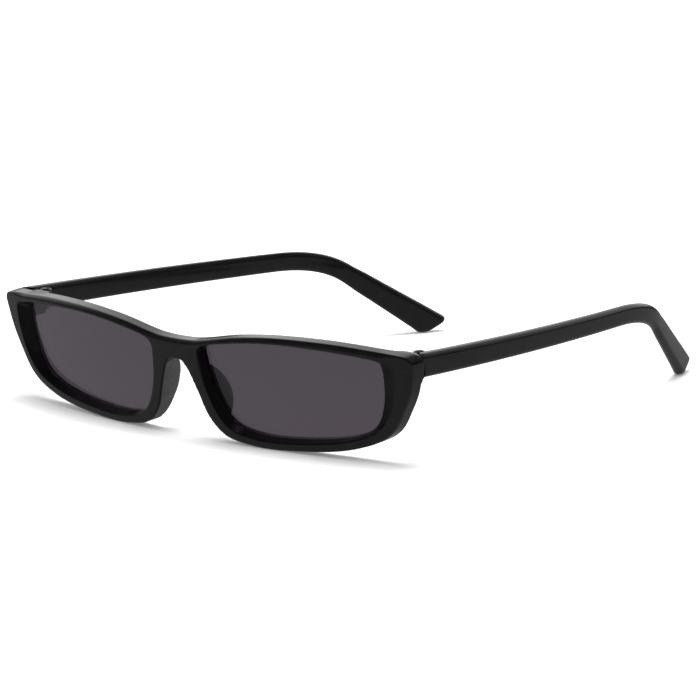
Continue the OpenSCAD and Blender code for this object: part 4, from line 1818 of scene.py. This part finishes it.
@dataclass
class Studio:
    """The plain white floor, the soft light and the camera.

    Args:
        middle_y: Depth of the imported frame's middle, in millimetres.
        floor_r: Radius of the floor, in metres.
        floor_below: How far the floor lies below the object, in metres.
        floor_sides: Points round the floor's edge.
        floor_tone: The floor's colour.
        floor_roughness: Its roughness.
        floor_glow: How much brighter the floor looks to the camera than it is lit.
        floor_mirrored: How bright the floor looks in the plastic, close by and far off.
        floor_fades: Where it fades from the one to the other, in metres from the middle.
        room_ways: Parts of the room mirrored in the plastic, from behind the object to the camera's
            side, and how bright these are.
        room_heights: Heights on the room's walls between which its brightness changes, and by how much.
        room_light: How bright the room is as a light.
        softboxes: The lamps.
        lens_mm: The camera's focal length.
        sensor_mm: Width of its sensor.
        sees_to: How far it sees, in metres.
        camera_place: The camera's place in the upright frame, in millimetres.
        yaw: The camera's angle from straight ahead.
        pitch: How far it looks down.
    """

    middle_y: float
    floor_r: float = 6.0
    floor_below: float = 0.00002
    floor_sides: int = 96
    floor_tone: tuple[float, float, float] = (0.86, 0.86, 0.86)
    floor_roughness: float = 0.9
    floor_glow: float = 0.15
    floor_mirrored: tuple[float, float] = (0.38, 0.08)
    floor_fades: tuple[float, float] = (0.25, 0.6)
    room_ways: tuple[tuple, tuple] = ((-0.75, -0.1), (1.25, 0.15))
    room_heights: tuple[tuple, ...] = (
        ((0.10, 0.20), (0.1, 1.0)), ((0.28, 0.38), (1.0, 0.8)), ((0.58, 0.80), (1.0, 0.08)),
    )
    room_light: float = 0.62
    softboxes: tuple[Softbox, ...] = (
        Softbox("overhead_softbox", (0.0, -0.03, 1.0), 0.6, 10.5),
        Softbox("side_softbox", (0.9, -0.4, 0.6), 0.7, 0.6),
    )
    lens_mm: float = 268.19
    sensor_mm: float = 36.0
    sees_to: float = 50.0
    camera_place: tuple[float, float, float] = (854.70, -914.116, 266.94)
    yaw: float = 0.7198695
    pitch: float = 0.1937701

    def floor(self) -> None:
        """Lays the floor under the rims and tips."""
        turns = np.linspace(0, 2 * math.pi, self.floor_sides, endpoint=False)
        level = np.full(len(turns), CAD_BOX[0][2] - self.floor_below)
        ring = np.stack([self.floor_r * np.cos(turns), self.floor_r * np.sin(turns), level], axis=1)
        mesh = bpy.data.meshes.new("studio_floor")
        mesh.from_pydata(ring.tolist(), [], [tuple(range(len(ring)))])
        shader = Shader("white_floor")
        rays = shader.seen()
        shader.set(Base_Color=(*self.floor_tone, 1), Roughness=self.floor_roughness,
                   Specular_IOR_Level=0.0, Emission_Color=(1, 1, 1, 1),
                   Emission_Strength=shader.maths("MULTIPLY", rays["clear"], self.floor_glow))
        out = shader.add("ShaderNodeVectorMath", {0: shader.place}, out="Value", operation="LENGTH")
        glow = shader.add("ShaderNodeEmission", {
            "Strength": shader.ranged(out, self.floor_fades, self.floor_mirrored),
        })
        shown = shader.add("ShaderNodeMixShader", {
            "Fac": rays["mirrored"], 1: shader.surface.outputs[0], 2: glow,
        })
        shader.fill(shader.tree.nodes["Material Output"], {"Surface": shown})
        mesh.materials.append(shader.material)
        in_scene("studio_floor", mesh)

    def room(self) -> None:
        """Lights the scene evenly, with a white surround and a dimmer room on the camera's side."""
        world = bpy.data.worlds.new("soft_tent")
        world.use_nodes = True
        bpy.context.scene.world = world
        nodes = Nodes(world.node_tree)
        way = nodes.add("ShaderNodeTexCoord", out="Generated")
        to_camera = (math.sin(self.yaw), -math.cos(self.yaw), 0)
        facing = nodes.add("ShaderNodeVectorMath", {0: way, 1: to_camera}, "Value", operation="DOT_PRODUCT")
        height = nodes.add("ShaderNodeSeparateXYZ", {0: way}, out="Z")
        walls = nodes.ranged(facing, *self.room_ways)
        for between, to in self.room_heights:
            walls = nodes.maths("MULTIPLY", walls, nodes.ranged(height, between, to))
        rays = nodes.seen()
        lit = nodes.add("ShaderNodeMix", {"Factor": rays["mirrored"], "A": self.room_light, "B": walls})
        shown = nodes.add("ShaderNodeMix", {"Factor": rays["clear"], "A": lit, "B": 1.0})
        nodes.fill(nodes.tree.nodes["Background"], {"Color": (1, 1, 1, 1), "Strength": shown})

    def camera(self) -> None:
        """Puts the camera where the photograph was taken from."""
        data = bpy.data.cameras.new("photo_camera")
        data.sensor_width, data.lens, data.clip_end = self.sensor_mm, self.lens_mm, self.sees_to
        camera = in_scene("photo_camera", data)
        x, y, z = self.camera_place
        camera.location = (x * MM, (y - self.middle_y) * MM, z * MM)
        level = math.cos(self.pitch)
        way = Vector((-math.sin(self.yaw) * level, math.cos(self.yaw) * level, -math.sin(self.pitch)))
        camera.rotation_euler = way.to_track_quat("-Z", "Y").to_euler()
        bpy.context.scene.camera = camera

    def build(self) -> None:
        """Builds the whole studio."""
        self.floor()
        self.room()
        for softbox in self.softboxes:
            softbox.hang()
        self.camera()
        bpy.context.scene.view_settings.view_transform = "Standard"
        LOG.info("studio: ready")


def main() -> None:
    """Builds every piece in order."""
    logging.basicConfig(level=logging.INFO, format="%(message)s")
    form = FrontForm()
    finishes = Finishes()
    Front(form).build(finishes)
    NosePads(form).build(finishes)
    Lenses(form).build(finishes)
    Temples(form).build(finishes)
    Hinges(form).build(finishes)
    HiddenMetal().dress(finishes)
    Studio(form.middle_y).build()


if __name__ == "__main__":
    main()
